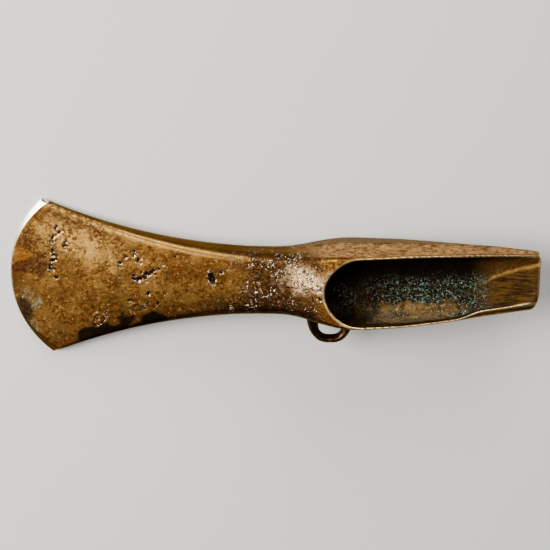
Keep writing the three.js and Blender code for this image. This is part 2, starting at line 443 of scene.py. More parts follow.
@dataclass(frozen=True)
class Casting:
    """The whole casting as one signed distance, negative in the bronze."""

    profile: Profile = Profile()
    edge: Edge = Edge()
    seam: Seam = Seam()
    bed: Bed = Bed()
    plateau: Plateau = Plateau()
    loop: Loop = Loop()
    upper_corner: Pair = (1.5, 1.7)  # how far along and across the butt is worn off
    lower_corner: Pair = (2.8, 5.2)
    arris: Triple = (0.5, 2.9, 0.7)  # corner radii at the edge, at the waist and on the flanges
    worn_arris: float = 1.6  # what wear adds to the last
    lip_round: float = 0.35
    grain: Grain = Grain(11)

    def corner_loss(self, x: Array, y: Array) -> Array:
        """How much the worn corners of the butt take off the half width.

        Args:
            x: Places along the axis.
            y: Places across it, from the centre line.

        Returns:
            The loss at each.
        """
        upper = y > 0.0
        along = np.where(upper, self.upper_corner[0], self.lower_corner[0])
        across = np.where(upper, self.upper_corner[1], self.lower_corner[1])
        into = np.clip((x - self.profile.length + along) / along, 0.0, 1.0)
        return across * (1.0 - np.sqrt(1.0 - into * into))

    def arris_radius(self, x: Array, y: Array) -> Array:
        """Corner radius of the section.

        Args:
            x: Places along the axis.
            y: Places across it, from the centre line.

        Returns:
            The radius at each.
        """
        at_edge, at_waist, at_flange = self.arris
        blade = blend(at_edge, at_waist, ease(x, 5.0, self.profile.waist_x))
        haft = (at_waist - at_flange) * ease(x, self.profile.waist_x, self.profile.peak_x - 3.0)
        worn = ease(x, self.bed.worn_from - 2.0, self.bed.worn_from + self.bed.worn_run) * (y < 0.0)
        return blade - haft + self.worn_arris * worn

    def outside(self, x: Array, y: Array, z: Array) -> Array:
        """Distance from the outer form, before the beds are sunk and the loop is added.

        Args:
            x: Places along the axis.
            y: Places across it.
            z: Places through the thickness.

        Returns:
            Distances, negative inside the form.
        """
        profile = self.profile
        inland = self.edge.inland(x, y)
        off_axis = y - profile.centre(x)
        width = profile.half_width(x) - self.corner_loss(x, off_axis)
        share = np.clip(np.abs(off_axis) / width, 0.0, 1.0)
        flat = 1.0 - ease(x, profile.waist_x, self.bed.stop_x)
        thickness = profile.half_thickness(x) * (1.0 - profile.crown * share**2 * flat)
        thickness = np.minimum(thickness, self.edge.cap(inland))
        middle = np.clip(1.0 - np.abs(z) / thickness, 0.0, 1.0)
        width = width + self.seam.rise(profile, x, off_axis) * middle
        radius = np.minimum(self.arris_radius(x, off_axis), 0.9 * thickness)
        beyond_y = np.abs(off_axis) - width + radius
        beyond_z = np.abs(z) - thickness + radius
        corner = np.hypot(np.maximum(beyond_y, 0.0), np.maximum(beyond_z, 0.0))
        section = corner + np.minimum(np.maximum(beyond_y, beyond_z), 0.0) - radius
        form = soft_max(section, -inland, 0.08)
        return soft_max(form, x - profile.length, 0.8)

    def ragged(self, x: Array, y: Array) -> Array:
        """Noise that frays the border of the flat at the butt."""
        return self.grain.fractal(np.stack([x, y, np.zeros_like(x)], axis=-1), 2.2, 3)

    def floors(self, x: Array, y: Array) -> tuple[Array, Array]:
        """Heights of the two bed floors above the web's middle.

        Args:
            x: Places along the axis.
            y: Places across it, from the centre line.

        Returns:
            The floor in front and the one at the back.
        """
        web = self.bed.web(self.profile, x)
        flat = self.plateau.share(self.profile, x, y, self.ragged(x, y))
        return web + self.plateau.rise * flat, web

    def distance(self, x: Array, y: Array, z: Array) -> Array:
        """Signed distance from the casting's surface, good close to it.

        Args:
            x: Places along the axis.
            y: Places across it.
            z: Places through the thickness.

        Returns:
            Negative distances in the bronze and positive ones outside it.
        """
        profile = self.profile
        form = self.outside(x, y, z)
        root = profile.centre(self.loop.x) - profile.half_width(self.loop.x)
        root_y = float(root - self.seam.dressed * self.seam.at_waist)
        form = soft_min(form, self.loop.distance(root_y, x, y, z), self.loop.root_fillet)
        off_axis = y - profile.centre(x)
        for floor, height in zip(self.floors(x, y), (z, -z)):
            form = soft_max(form, self.bed.hollow(profile, x, off_axis, height, floor), self.lip_round)
        return form

    def slope(self, points: Array, step: float = 0.03) -> Array:
        """Gradient of the distance.

        Args:
            points: Places, one row each.
            step: How far to either side the distance is probed.

        Returns:
            The gradient at each place.
        """
        parts = []
        for axis in range(3):
            ahead, behind = points.copy(), points.copy()
            ahead[:, axis] += step
            behind[:, axis] -= step
            parts.append((self.distance(*ahead.T) - self.distance(*behind.T)) / (2.0 * step))
        return np.stack(parts, axis=1)


# ---- A net of quads on the surface -----------------------------------------------------------------


@dataclass
class SurfaceNet:
    """Lays quads on a casting's surface from samples on a grid.

    The grid's layers through the thickness close up towards the thin cutting edge, so that the
    edge keeps whole quads.

    Attributes:
        casting: The shape.
        spacing: Grid spacing, in millimetres.
        thin_share: How close the layers are at the cutting edge, against the spacing.
        full_x: Where the layers reach the full spacing.
        margin: How far the grid stands out past the casting.
        slab: How many stations along the casting are sampled at once.
        rounds: How far each round of settling moves vertices towards their neighbours' middle.
        longest_pull: The furthest that one round pulls a vertex onto the surface.
    """

    casting: Casting
    spacing: float = 0.43
    thin_share: float = 0.22
    full_x: float = 55.0
    margin: float = 1.3
    slab: int = 32
    rounds: tuple[float, ...] = (0.5, 0.5, 0.0, 0.0)
    longest_pull: float = 0.25

    def layer_share(self, x: Array) -> Array:
        """Spacing of the layers at x, as a share of the grid's spacing."""
        return blend(self.thin_share, 1.0, ease(x, 0.0, self.full_x))

    def axes(self) -> tuple[Array, Array, Array]:
        """The grid's stations.

        Returns:
            Stations along, across and through the casting.
        """
        profile = self.casting.profile
        widest_x = 9.0  # nearer the edge the arc has cut the sides off
        half_y = float(profile.half_width(np.array(widest_x))) + self.margin
        half_z = profile.peak_thickness + self.margin
        along = np.arange(-self.margin, profile.length + self.margin, self.spacing)
        across = np.arange(-half_y, half_y, self.spacing)
        through = np.arange(-half_z, half_z, self.spacing)
        return along, across, through

    def sample(self) -> tuple[Array, tuple[Array, Array, Array]]:
        """Samples the casting's distance, slab by slab.

        Returns:
            The distance at every place of the grid, and the grid's stations.
        """
        along, across, through = self.axes()
        values = np.empty((len(along), len(across), len(through)), np.float32)
        for start in range(0, len(along), self.slab):
            x = along[start:start + self.slab, None, None]
            z = through[None, None, :] * self.layer_share(x)
            grid = np.broadcast_arrays(x, across[None, :, None], z)
            values[start:start + self.slab] = self.casting.distance(*grid)
        return values, (along, across, through)

    def weave(self, values: Array) -> tuple[Array, Array]:
        """One vertex in each grid cell that the surface crosses, and a quad for each crossed edge.

        Args:
            values: Distances on the grid.

        Returns:
            Vertices in grid steps, and quads of vertex numbers.
        """
        inside = values < 0.0
        shape = tuple(n - 1 for n in values.shape)
        owners, places, quads = [], [], []
        for axis in range(3):
            low = tuple(slice(0, -1) if a == axis else slice(None) for a in range(3))
            high = tuple(slice(1, None) if a == axis else slice(None) for a in range(3))
            at = np.argwhere(inside[low] != inside[high])
            after = at.copy()
            after[:, axis] += 1
            here, there = values[tuple(at.T)], values[tuple(after.T)]
            place = at.astype(float)
            place[:, axis] += here / (here - there)
            u, v = (axis + 1) % 3, (axis + 2) % 3
            ring = []
            for step_u, step_v in ((-1, -1), (0, -1), (0, 0), (-1, 0)):
                cell = at.copy()
                cell[:, u] += step_u
                cell[:, v] += step_v
                ring.append(np.ravel_multi_index(tuple(cell.T), shape))
                owners.append(ring[-1])
                places.append(place)
            quad = np.stack(ring, axis=1)
            outwards = here < 0.0
            quads.append(np.where(outwards[:, None], quad, quad[:, ::-1]))
        owner, place = np.concatenate(owners), np.concatenate(places)
        used, number = np.unique(owner, return_inverse=True)
        count = np.bincount(number)
        vertices = np.stack([np.bincount(number, place[:, a]) / count for a in range(3)], axis=1)
        return vertices, np.searchsorted(used, np.concatenate(quads))

    def settle(self, vertices: Array, quads: Array) -> Array:
        """Evens the vertices out along the surface and pulls them onto it.

        Args:
            vertices: Vertices near the surface, in millimetres.
            quads: Four vertex numbers for each face.

        Returns:
            Vertices on the surface.
        """
        ends = np.concatenate([quads, np.roll(quads, 1, axis=1)]).ravel()
        others = np.concatenate([np.roll(quads, -1, axis=1), quads]).ravel()
        count = np.bincount(ends, minlength=len(vertices))[:, None]
        for smoothing in self.rounds:
            if smoothing:
                mean = np.stack([np.bincount(ends, vertices[others, a], len(vertices))
                                 for a in range(3)], axis=1) / count
                normal = self.casting.slope(vertices)
                normal /= np.linalg.norm(normal, axis=1, keepdims=True) + TINY
                move = (mean - vertices) * smoothing
                vertices = vertices + move - normal * np.sum(move * normal, axis=1, keepdims=True)
            slope = self.casting.slope(vertices)
            off = self.casting.distance(*vertices.T)
            pull = off[:, None] * slope / (np.sum(slope * slope, axis=1, keepdims=True) + 1e-6)
            length = np.linalg.norm(pull, axis=1, keepdims=True)
            vertices = vertices - pull * np.minimum(1.0, self.longest_pull / (length + TINY))
        return vertices

    def hone(self, vertices: Array, reach: float = 0.3) -> Array:
        """Draws the vertices nearest the cutting edge onto the edge itself.

        Args:
            vertices: Vertices on the surface.
            reach: How far behind the edge a vertex may lie and still be drawn onto it.

        Returns:
            The vertices, with one clean line of them along each side of the edge.
        """
        edge = self.casting.edge
        x, y, z = vertices.T
        near = (edge.inland(x, y) < reach) & (x < edge.radius / 2.0)
        centre = np.array([edge.radius, edge.centre_y])
        out = vertices[:, :2] - centre
        out = centre + out * edge.radius / np.linalg.norm(out, axis=1, keepdims=True)
        width = self.casting.profile.half_width(out[:, 0])
        near &= np.abs(out[:, 1] - self.casting.profile.centre(out[:, 0])) < width + 0.05
        thin = np.clip(z, -edge.sharpness, edge.sharpness)
        honed = np.column_stack([out, thin])
        return np.where(near[:, None], honed, vertices)

    def build(self) -> tuple[Array, Array]:
        """Makes the finished net.

        Returns:
            Vertices in millimetres, and quads with their faces outwards.
        """
        values, (along, across, through) = self.sample()
        steps, quads = self.weave(values)
        x = along[0] + steps[:, 0] * self.spacing
        y = across[0] + steps[:, 1] * self.spacing
        z = (through[0] + steps[:, 2] * self.spacing) * self.layer_share(x)
        return self.hone(self.settle(np.stack([x, y, z], axis=1), quads)), quads


# ---- Wear: pits, flaws and striations ---------------------------------------------------------------


def across_oval(points: Array, middle: Pair | Array, radii: Pair, turn: float) -> tuple[Array, Array]:
    """Places along and across a turned oval on a broad face.

    Args:
        points: Places on the casting.
        middle: The oval's middle, in x and y.
        radii: Its radii, which become 1 in the result.
        turn: Its turn, in radians.

    Returns:
        How far along and how far across the oval each place is.
    """
    off = points[:, :2] - np.asarray(middle)
    cosine, sine = math.cos(turn), math.sin(turn)
    return off @ np.array([cosine, sine]) / radii[0], off @ np.array([-sine, cosine]) / radii[1]


class Side(Enum):
    """Which broad face a flaw is on."""

    FRONT = 1
    BACK = -1

    def holds(self, points: Array) -> Array:
        """Whether each place is on this side of the web's middle."""
        return points[:, 2] * self.value > 0.0


@dataclass(frozen=True)
class PitString:
    """A row of casting pits across a blade face.

    Attributes:
        start: Where the row begins, in x and y.
        end: Where it ends.
        count: Number of pits.
        size: Radius of a pit.
        depth: Depth of a pit.
        stray: How far pits lie off the line.
        side: The face they are on.
        step: Least and greatest place of a pit within its own stretch of the row.
        turn: Mean and spread of the pits' turns, in radians.
        stretch: Least and greatest length of a pit, against its width.
        vary: Least and greatest size, against the size given.
    """

    start: Pair
    end: Pair
    count: int
    size: float = 0.5
    depth: float = 0.3
    stray: float = 0.8
    side: Side = Side.FRONT
    step: Pair = (0.2, 0.8)
    turn: Pair = (0.8, 0.7)
    stretch: Pair = (1.2, 2.4)
    vary: Pair = (0.7, 1.3)

    def sink(self, points: Array, seed: int, reach: float = 1.0) -> Array:
        """How deep each point lies in the row's pits.

        Args:
            points: Places on the casting.
            seed: Scatters the pits along the row.
            reach: Widens every pit by this factor.

        Returns:
            1 in the middle of a pit, 0 on its rim and beyond.
        """
        picks = np.random.default_rng(seed)
        depth = np.zeros(len(points))
        for k in range(self.count):
            along = (k + picks.uniform(*self.step)) / self.count
            middle = blend(np.array(self.start), np.array(self.end), along)
            middle = middle + picks.normal(0.0, self.stray, 2)
            turn, stretch = picks.normal(*self.turn), picks.uniform(*self.stretch)
            size = self.size * reach * picks.uniform(*self.vary)
            major, minor = across_oval(points, middle, (size * stretch, size), turn)
            depth = np.maximum(depth, np.clip(1.0 - major**2 - minor**2, 0.0, 1.0))
        return depth * self.side.holds(points)


@dataclass(frozen=True)
class RingFlaw:
    """An oval flaw with a raised rim and a sunken moat, where a gas bubble burst in the mould.

    Attributes:
        centre: Its middle, in x and y.
        radii: Radii of the rim.
        turn: Its turn, in radians.
        rim: Where the rim stands and how far it reaches, against the radii.
        moat: The same for the moat, which is deeper on the loop's side.
        dimple: The same for the sunken middle.
    """

    centre: Pair
    radii: Pair
    turn: float = 0.0
    side: Side = Side.FRONT
    grain: Grain = Grain(67)
    rim: Pair = (1.0, 0.3)
    moat: Pair = (1.4, 0.35)
    dimple: Pair = (0.2, 0.6)

    def lift(self, points: Array) -> Array:
        """How far the flaw stands above the surface.

        Args:
            points: Places on the casting.

        Returns:
            Up to 1 on the rim, down to -1 in the moat, and 0 beyond it.
        """
        major, minor = across_oval(points, self.centre, self.radii, self.turn)
        ring = np.hypot(major, minor) + 0.35 * self.grain.fractal(points, 1.6, 2)
        upper = ease(minor - 0.4 * major, -0.5, 0.7)
        moat = bump_at(ring, *self.moat) * blend(1.0, 0.2, upper) + 0.4 * bump_at(ring, *self.dimple)
        return (bump_at(ring, *self.rim) * blend(0.15, 1.0, upper) - moat) * self.side.holds(points)


PIT_STRINGS = (
    PitString((15.6, 17.4), (13.4, 10.4), 9, size=0.36, stray=1.0),
    PitString((17.2, 13.0), (17.7, 9.0), 3, size=0.36, stray=0.4),
    PitString((14.2, 8.7), (12.6, 2.2), 9, size=0.38, stray=0.8),
    PitString((14.0, 1.0), (14.6, 0.0), 1, size=0.45, stray=0.2),
    PitString((38.7, 9.6), (40.6, 5.2), 4, size=0.34, stray=0.4),
    PitString((38.8, 1.2), (45.6, 2.6), 11, size=0.42, stray=0.8),
    PitString((41.6, -3.4), (43.8, -4.0), 2, size=0.34, stray=0.2),
    PitString((33.6, 5.2), (36.0, 6.8), 3, size=0.32, stray=0.5),
    PitString((62.9, 1.9), (63.0, 1.9), 1, size=0.75, depth=0.55, stray=0.0),
    PitString((65.0, 3.4), (67.4, 4.6), 3, size=0.30, stray=0.2),
    PitString((95.4, 1.2), (97.0, -4.0), 5, size=0.30, stray=0.6),
    PitString((24.0, -6.0), (56.0, 6.0), 12, size=0.28, depth=0.2, stray=5.0),
    PitString((20.0, -9.0), (52.0, 10.0), 12, size=0.42, stray=4.0, side=Side.BACK),
    PitString((60.0, -4.0), (84.0, 5.0), 12, size=0.45, stray=3.0, side=Side.BACK),
)

RING_FLAWS = (
    RingFlaw((39.6, -8.0), (1.9, 1.1), 0.1),
    RingFlaw((27.4, -12.3), (2.0, 1.4), 0.7),
)


class Spots:
    """Places on the smooth casting, with what the wear and the patina ask about each.

    Attributes:
        points: The places, one row each.
        x, y, z: Their coordinates.
        off_axis: Distance from the centre line, signed.
        width: Half width of the casting there.
        thickness: Half thickness there.
        beyond: How far past the arris they lie, seen square on.
        below: How far under the height of the face they lie.
        inset: How far inside a bed's rim they lie.
        inland: How far behind the cutting edge they lie.
        bed: 1 inside a haft bed, 0 on the outer skin.
        front: Whether they are on the front half.
        upper: Whether they are on the side away from the loop.
    """

    def __init__(self, casting: Casting, points: Array) -> None:
        """Reads the places off a casting.

        Args:
            casting: The casting that they lie on.
            points: The places, in millimetres.
        """
        profile = casting.profile
        self.points = points
        self.x, self.y, self.z = points.T
        self.off_axis = self.y - profile.centre(self.x)
        self.width = profile.half_width(self.x)
        self.thickness = profile.half_thickness(self.x)
        self.beyond = np.abs(self.off_axis) - self.width
        self.below = self.thickness - np.abs(self.z)
        self.inset = casting.bed.inset(profile, self.x, self.off_axis)
        self.inland = casting.edge.inland(self.x, self.y)
        self.bed = ease(self.inset, 0.05, 0.5) * ease(self.below, 0.1, 0.9)
        self.front = self.z > 0.0
        self.upper = self.y > 0.0


class Zone(Enum):
    """Stretches of the casting that wear in their own ways."""

    ALL = "all over"
    WAIST = "the pitted waist"
    BED = "the haft beds, short of the butt"
    BUTT = "the striated flats at the butt"


@dataclass(frozen=True)
class Relief:
    """One layer of relief: waves about the surface, or round pocks sunk into it.

    Attributes:
        zone: Where it is.
        grain: Its noise.
        height: Height of the waves or depth of the pocks, in millimetres.
        size: Size of the waves or spacing of the pocks.
        octaves: Octaves of the waves. A layer without any is pocked.
        crowding: The share of the places that hold a pock.
    """

    zone: Zone
    grain: Grain
    height: float
    size: float | Triple
    octaves: int = 0
    crowding: float = 0.0

    def rise(self, points: Array) -> Array:
        """Its height over the smooth surface.

        Args:
            points: Places on the casting.

        Returns:
            The height at each, in millimetres.
        """
        if self.octaves:
            return self.height * self.grain.fractal(points, self.size, self.octaves)
        return -self.height * self.grain.pocks(points, self.size, self.crowding)


RELIEF = (
    Relief(Zone.ALL, Grain(5), 0.07, 14.0, octaves=3),
    Relief(Zone.ALL, Grain(5), 0.025, 2.4, octaves=2),
    Relief(Zone.WAIST, Grain(5), 0.13, 1.35, crowding=0.7),
    Relief(Zone.WAIST, Grain(71), 0.16, 2.6, crowding=0.45),
    Relief(Zone.BED, Grain(31), 0.16, 1.9, octaves=3),
    Relief(Zone.BED, Grain(37), 0.16, 1.7, crowding=0.5),
    Relief(Zone.BUTT, Grain(41), 0.06, (16.0, 0.7, 2.0), octaves=3),
)


@dataclass(frozen=True)
class Wear:
    """Everything that roughens the smooth casting, as heights along its normals.

    Attributes:
        casting: The smooth casting.
        grain: Noise that frays the waist and the flash.
        first_seed: Seed of the first row of pits. Each further row takes the next one.
        pit_mark_reach: How much wider the marks about a pit, its dark opening and its ring of painted
            glints, are than the pit.
        flaw_height: Height of the rims of the ring flaws.
        keen_strip: Where the relief begins and is full, behind the cutting edge.
        waist_start: The same for the pitted waist, along x.
        waist_end: Where the pitted waist thins out and ends.
        flash: Height and half width of the flash left on the seam.
        flash_span: Where the flash begins and is full, along x.
    """

    casting: Casting
    grain: Grain = Grain(5)
    relief: tuple[Relief, ...] = RELIEF
    pit_strings: tuple[PitString, ...] = PIT_STRINGS
    ring_flaws: tuple[RingFlaw, ...] = RING_FLAWS
    first_seed: int = 40
    pit_mark_reach: float = 1.75
    flaw_height: float = 0.12
    keen_strip: Pair = (0.3, 3.0)
    waist_start: Pair = (66.0, 78.0)
    waist_end: Pair = (92.0, 99.0)
    flash: Pair = (0.22, 0.45)
    flash_span: Pair = (50.0, 90.0)

    def waist_share(self, spots: Spots) -> Array:
        """How fully each place is in the densely pitted stretch about the waist.

        Args:
            spots: Places on the casting.

        Returns:
            1 well inside the stretch and 0 outside it.
        """
        edge = 6.0 * self.grain.fractal(spots.points, 9.0, 3)
        start = ease(spots.x + edge + 6.0 * ease(-spots.y, 2.0, 7.0), *self.waist_start)
        stretch = start * (1.0 - ease(spots.x + 0.4 * edge, *self.waist_end))
        faces = blend(0.35, 1.0, ease(np.abs(spots.z) - 0.45 * spots.thickness, -1.0, 1.5))
        return stretch * (1.0 - spots.bed) * faces

    def butt_share(self, spots: Spots) -> Array:
        """How fully each place is on the striated flats at the butt, from 0 to 1."""
        ragged = self.casting.ragged(spots.x, spots.y)
        return spots.bed * self.casting.plateau.share(self.casting.profile, spots.x, spots.y, ragged)

    def pits(self, points: Array) -> Array:
        """Nearness to the casting pits.

        Args:
            points: Places on the casting.

        Returns:
            1 in the middle of a pit and 0 well outside it.
        """
        rows = [row.sink(points, self.first_seed + k, self.pit_mark_reach)
                for k, row in enumerate(self.pit_strings)]
        moats = [0.9 * np.clip(-flaw.lift(points), 0.0, 1.0) for flaw in self.ring_flaws]
        return np.max(rows + moats, axis=0)

    def heights(self, spots: Spots) -> Array:
        """Height of the worn surface over the smooth one, in millimetres.

        Args:
            spots: Places on the smooth casting.

        Returns:
            A height for each place, negative in pits.
        """
        points, butt = spots.points, self.butt_share(spots)
        zones = {Zone.ALL: 1.0, Zone.WAIST: self.waist_share(spots),
                 Zone.BED: spots.bed * (1.0 - butt), Zone.BUTT: butt}
        height = sum(zones[layer.zone] * layer.rise(points) for layer in self.relief)
        pits = [row.depth * np.sqrt(row.sink(points, self.first_seed + k))
                for k, row in enumerate(self.pit_strings)]
        flaws = sum(self.flaw_height * flaw.lift(points) for flaw in self.ring_flaws)
        seam = bump_at(spots.z + 0.25 * self.grain.swell(points, 9.0), 0.0, self.flash[1])
        on_side = ease(spots.beyond, -0.2, 0.4) * spots.upper * ease(spots.x, *self.flash_span)
        height = height - np.max(pits, axis=0) + flaws + self.flash[0] * seam * on_side
        return height * ease(spots.inland, *self.keen_strip)


# ---- Patina: where each finish lies -----------------------------------------------------------------


@dataclass(frozen=True)
class FacePatch:
    """A blotch with a ragged border on the front face. Most are stains; the sheen is a painted highlight
    and the pale blotch a painted pool of light.

    Attributes:
        share: The share that it belongs to.
        middle: Its middle, in x and y.
        radii: Its reach along and across.
        ragged: How far the border strays, as a share of the reach.
        turn: Its turn, in radians.
        core: The share of the reach over which it is full. Lower cores fade more softly.
        strength: Its strength in the middle.
    """

    share: str
    middle: Pair
    radii: Pair
    ragged: float = 0.6
    turn: float = 0.0
    core: float = 0.8
    strength: float = 1.0

    def cover(self, points: Array, stray: Array) -> Array:
        """How fully it covers each point, for noise that frays its border."""
        border = np.hypot(*across_oval(points, self.middle, self.radii, self.turn)) + self.ragged * stray
        return self.strength * (1.0 - ease(border, self.core, 1.05)) * Side.FRONT.holds(points)


FACE_PATCHES = (
    # sheen: a painted highlight on the slope up to the stop
    FacePatch("sheen", (93.5, 2.4), (11.0, 5.0), 0.7, core=0.1),
    # pale: a painted pool of light over the upper left of the blade face, where the key lamp falls
    FacePatch("pale", (21.0, 12.0), (24.0, 9.0), 0.5, -0.25, core=0.05),
    FacePatch("umber", (24.6, -17.4), (4.6, 2.4), 0.5, 0.30),
    FacePatch("umber", (33.5, -13.6), (6.6, 2.6), 0.7, 0.22),
    FacePatch("umber", (44.5, -11.9), (4.6, 2.4), 0.6, 0.15),
    FacePatch("island", (32.4, -13.3), (2.4, 1.5), 0.4, 0.2, strength=0.85),
    FacePatch("violet", (4.6, 12.4), (4.8, 3.4), 0.55),
    FacePatch("violet", (6.3, 3.6), (5.4, 2.8), 0.8),
    FacePatch("violet", (12.5, 7.5), (3.2, 4.6), 0.9, strength=0.75),
    FacePatch("verdigris", (5.3, -5.3), (2.3, 3.0), 1.0, 0.3),
    FacePatch("verdigris", (7.6, -8.5), (1.9, 2.4), 0.9, 0.3),
    FacePatch("verdigris", (6.6, -14.8), (2.0, 3.0), 1.0, 0.5, strength=0.8),
    FacePatch("slate", (4.7, -10.2), (2.4, 4.4), 0.5, 0.35),
    FacePatch("amber", (3.4, 7.6), (2.6, 3.4), 1.1, core=0.5),
    FacePatch("crust", (103.0, -4.0), (6.5, 5.5), 0.6, core=0.2, strength=0.75),
)


@dataclass(frozen=True)
class PatinaMap:
    """Shares from 0 to 1 of each finish at each point, kept on the mesh by name. Some of them are painted
    light and shade rather than patina.

    Each pair is where a share begins and where it is full, in millimetres. A share falls where
    the first is the greater. The pairs run along x, but for those that say otherwise.

    Attributes:
        wear: The wear that the patina gathers in.
        grain: Noise that frays the borders.
        stains: The blotches: real stains, and painted light too.
        on_face: Nearness to the height of a broad face.
        ground: How much the bevels have taken off the thickness.
        fringe: The dark fringe at the blade's lower arris, from the arris inwards.
    """

    wear: Wear
    grain: Grain = Grain(23)
    stains: tuple[FacePatch, ...] = FACE_PATCHES
    on_face: Pair = (-1.6, -0.7)
    ground: Pair = (-0.02, 0.12)
    # where the painted highlight on the bevel fades, towards the loop's side
    keen: Pair = (-12.0, 4.0)  # along y
    flank: Pair = (84.0, 98.0)
    flank_blade: Pair = (92.0, 70.0)
    # where the painted highlight along the upper arris ends
    arris_highlight_end: Pair = (92.0, 84.0)
    # where the painted shade on the faces' loop side ends, along x
    face_low_shade_end: Pair = (90.0, 80.0)
    # painted shade along the waist's lower margin, which faces away from the light
    waist_low_shade_y: Pair = (5.6, 8.2)  # along -y
    waist_low_shade_start: Pair = (62.0, 74.0)
    waist_low_shade_end: Pair = (99.0, 93.0)
    # the lower wall of each bed, painted lighter where it faces the light
    wall_y: Pair = (5.0, 8.4)  # along -y
    wall_start: Pair = (108.0, 124.0)
    wall_end: Pair = (144.0, 134.0)
    crust_start: Pair = (106.0, 124.0)
    crust_y: Pair = (-4.5, 1.0)  # along -y
    # where the painted light in the beds begins and is full
    lit: Pair = (5.5, -3.0)  # along y
    strip: Pair = (142.0, 152.0)
    ridge: Pair = (147.0, 151.0)
    fringe: Pair = (1.7, 0.9)
    fringe_start: Pair = (16.0, 24.0)
    fringe_end: Pair = (70.0, 58.0)
    russet_start: Pair = (8.0, 13.0)
    russet_end: Pair = (40.0, 27.0)

    def shares(self, spots: Spots) -> dict[str, Array]:
        """Every named share.

        Args:
            spots: Places on the smooth casting.

        Returns:
            One array for each finish that the material mixes in.
        """
        worn = self.grain.fractal(spots.points, 2.0, 3)
        stray = self.grain.fractal(spots.points, 3.2, 4)
        shares: dict[str, Array] = {}
        # the blotches include painted light: the sheen and the pale blotch
        for stain in self.stains:
            cover = stain.cover(spots.points, stray)
            shares[stain.share] = np.maximum(shares.get(stain.share, 0.0), cover)
        shares.update(self._skin(spots))
        shares.update(self._haft(spots, worn, shares.pop("crust")))
        shares.update(self._borders(spots, worn, shares["umber"], shares.pop("island")))
        return shares

    def _skin(self, spots: Spots) -> dict[str, Array]:
        """Shares on the worn outer skin: bevel, arris, flanks, waist, pits and loop, some of them painted
        light and shade.

        Args:
            spots: Places on the smooth casting.

        Returns:
            The shares by name.
        """
        x, y, z, outer = spots.x, spots.y, spots.z, 1.0 - spots.bed
        on_face = ease(-spots.below, *self.on_face)
        side = ease(spots.beyond, -1.0, 0.1) * (1.0 - on_face)
        bevel = ease(spots.thickness - self.wear.casting.edge.cap(spots.inland), *self.ground)
        halfway = -z + 0.9 * self.grain.fractal(spots.points, 3.0, 3)
        return {
            "bevel": bevel,
            # painted highlight: the bevel near-white on its upper half, where it reflects the light
            "keen": ease(y, *self.keen) * bevel,
            # painted highlight: a band along the upper arris only, where its round catches the light
            "arris": bump_at(spots.beyond, -1.1, 1.7) * on_face * spots.upper * ease(x, *self.arris_highlight_end),
            "flank": side * outer * ease(x, *self.flank),
            # painted shade: the back half of each side, turned from the lamps
            "flank_back_shade": side * outer * ease(halfway, -1.2, 0.8),
            "flank_blade": side * ease(x, *self.flank_blade),
            "waist": self.wear.waist_share(spots),
            # painted shade: near black along the waist's loop side, turned from the light
            "waist_low_shade": outer * ease(-y, *self.waist_low_shade_y) * ease(x, *self.waist_low_shade_start) * ease(x, *self.waist_low_shade_end),
            "pit": self.wear.pits(spots.points),
            # painted shade: the broad faces darken towards the loop's side, away from the light
            "face_low_shade": ease(-y, 1.0, spots.width - 1.0) * on_face * ease(x, *self.face_low_shade_end),
            # painted shade: the loop, which light doesn't reach
            "loop": ease(-spots.beyond * np.sign(spots.off_axis), 0.2, 1.2) * ~spots.upper,
        }

    def _haft(self, spots: Spots, worn: Array, crust: Array) -> dict[str, Array]:
        """Shares in and around the haft beds, some of them painted light and shade.

        Args:
            spots: Places on the smooth casting.
            worn: Noise that frays the borders.
            crust: The crust's own blotch, by the stop.

        Returns:
            The shares by name.
        """
        x, bed, off_axis = spots.x, spots.bed, spots.off_axis
        casting, front = self.wear.casting, self.wear.butt_share(spots)
        stop, butt = casting.bed.stop_x, casting.profile.length
        rim = bump_at(spots.inset + 0.12 * worn, -0.15, 0.7) * (1.0 - ease(spots.below, 0.15, 0.8))
        rim = rim * ease(x, stop - 1.0, stop)
        ridge_y = casting.plateau.ridge_y(casting.profile, x) + 0.5 * casting.ragged(x, spots.y)
        ridge = bump_at(spots.y - ridge_y, 0.1, 0.75) * ease(x, *self.ridge)
        frayed = x + 7.0 * worn
        wall = ease(-off_axis + 2.6 * worn, *self.wall_y)
        wall = wall * ease(frayed, *self.wall_start) * ease(frayed, *self.wall_end)
        spread = ease(x + 4.0 * worn, *self.crust_start) * ease(-off_axis + 2.0 * worn, *self.crust_y)
        return {
            "bed": bed,
            "butt": front,
            "rim": np.maximum(rim, ease(x, butt - 0.8, butt - 0.3)),
            # painted highlight: the torn ridge at the butt, which catches the light
            "ridge": ridge * bed * spots.front,
            # painted light: the beds' lower wall, which faces the light
            "wall": wall * bed * ease(spots.below, 1.5, 3.5),
            "crust": bed * np.maximum(spread * (1.0 - 0.6 * front), crust),
            # painted light: the lower part of each bed, where light falls past the upper flange
            "lit": ease(off_axis, *self.lit) * bed,
            "strip": bed * (1.0 - front) * ease(x, *self.strip),
        }

    def _borders(self, spots: Spots, worn: Array, umber: Array, island: Array) -> dict[str, Array]:
        """Shares that follow the borders of the blade's front face.

        Args:
            spots: Places on the smooth casting.
            worn: Noise that frays the borders.
            umber: The dark blotches.
            island: Bare places within them.

        Returns:
            The shares by name.
        """
        x, worn_y = spots.x, spots.y - 1.2 * worn
        fringe = ease(spots.width + spots.y + 0.9 * worn, *self.fringe)
        fringe = 0.9 * fringe * ease(x, *self.fringe_start) * ease(x, *self.fringe_end) * spots.front
        band = ease(worn_y - (spots.width - 6.0), 0.0, 2.2) * ease(x, *self.russet_end)
        return {
            "umber": np.maximum(umber, fringe) * (1.0 - island),
            "russet": band * ease(x, *self.russet_start) * spots.front,
        }


# ---- Finishes -----------------------------------------------------------------------------------------


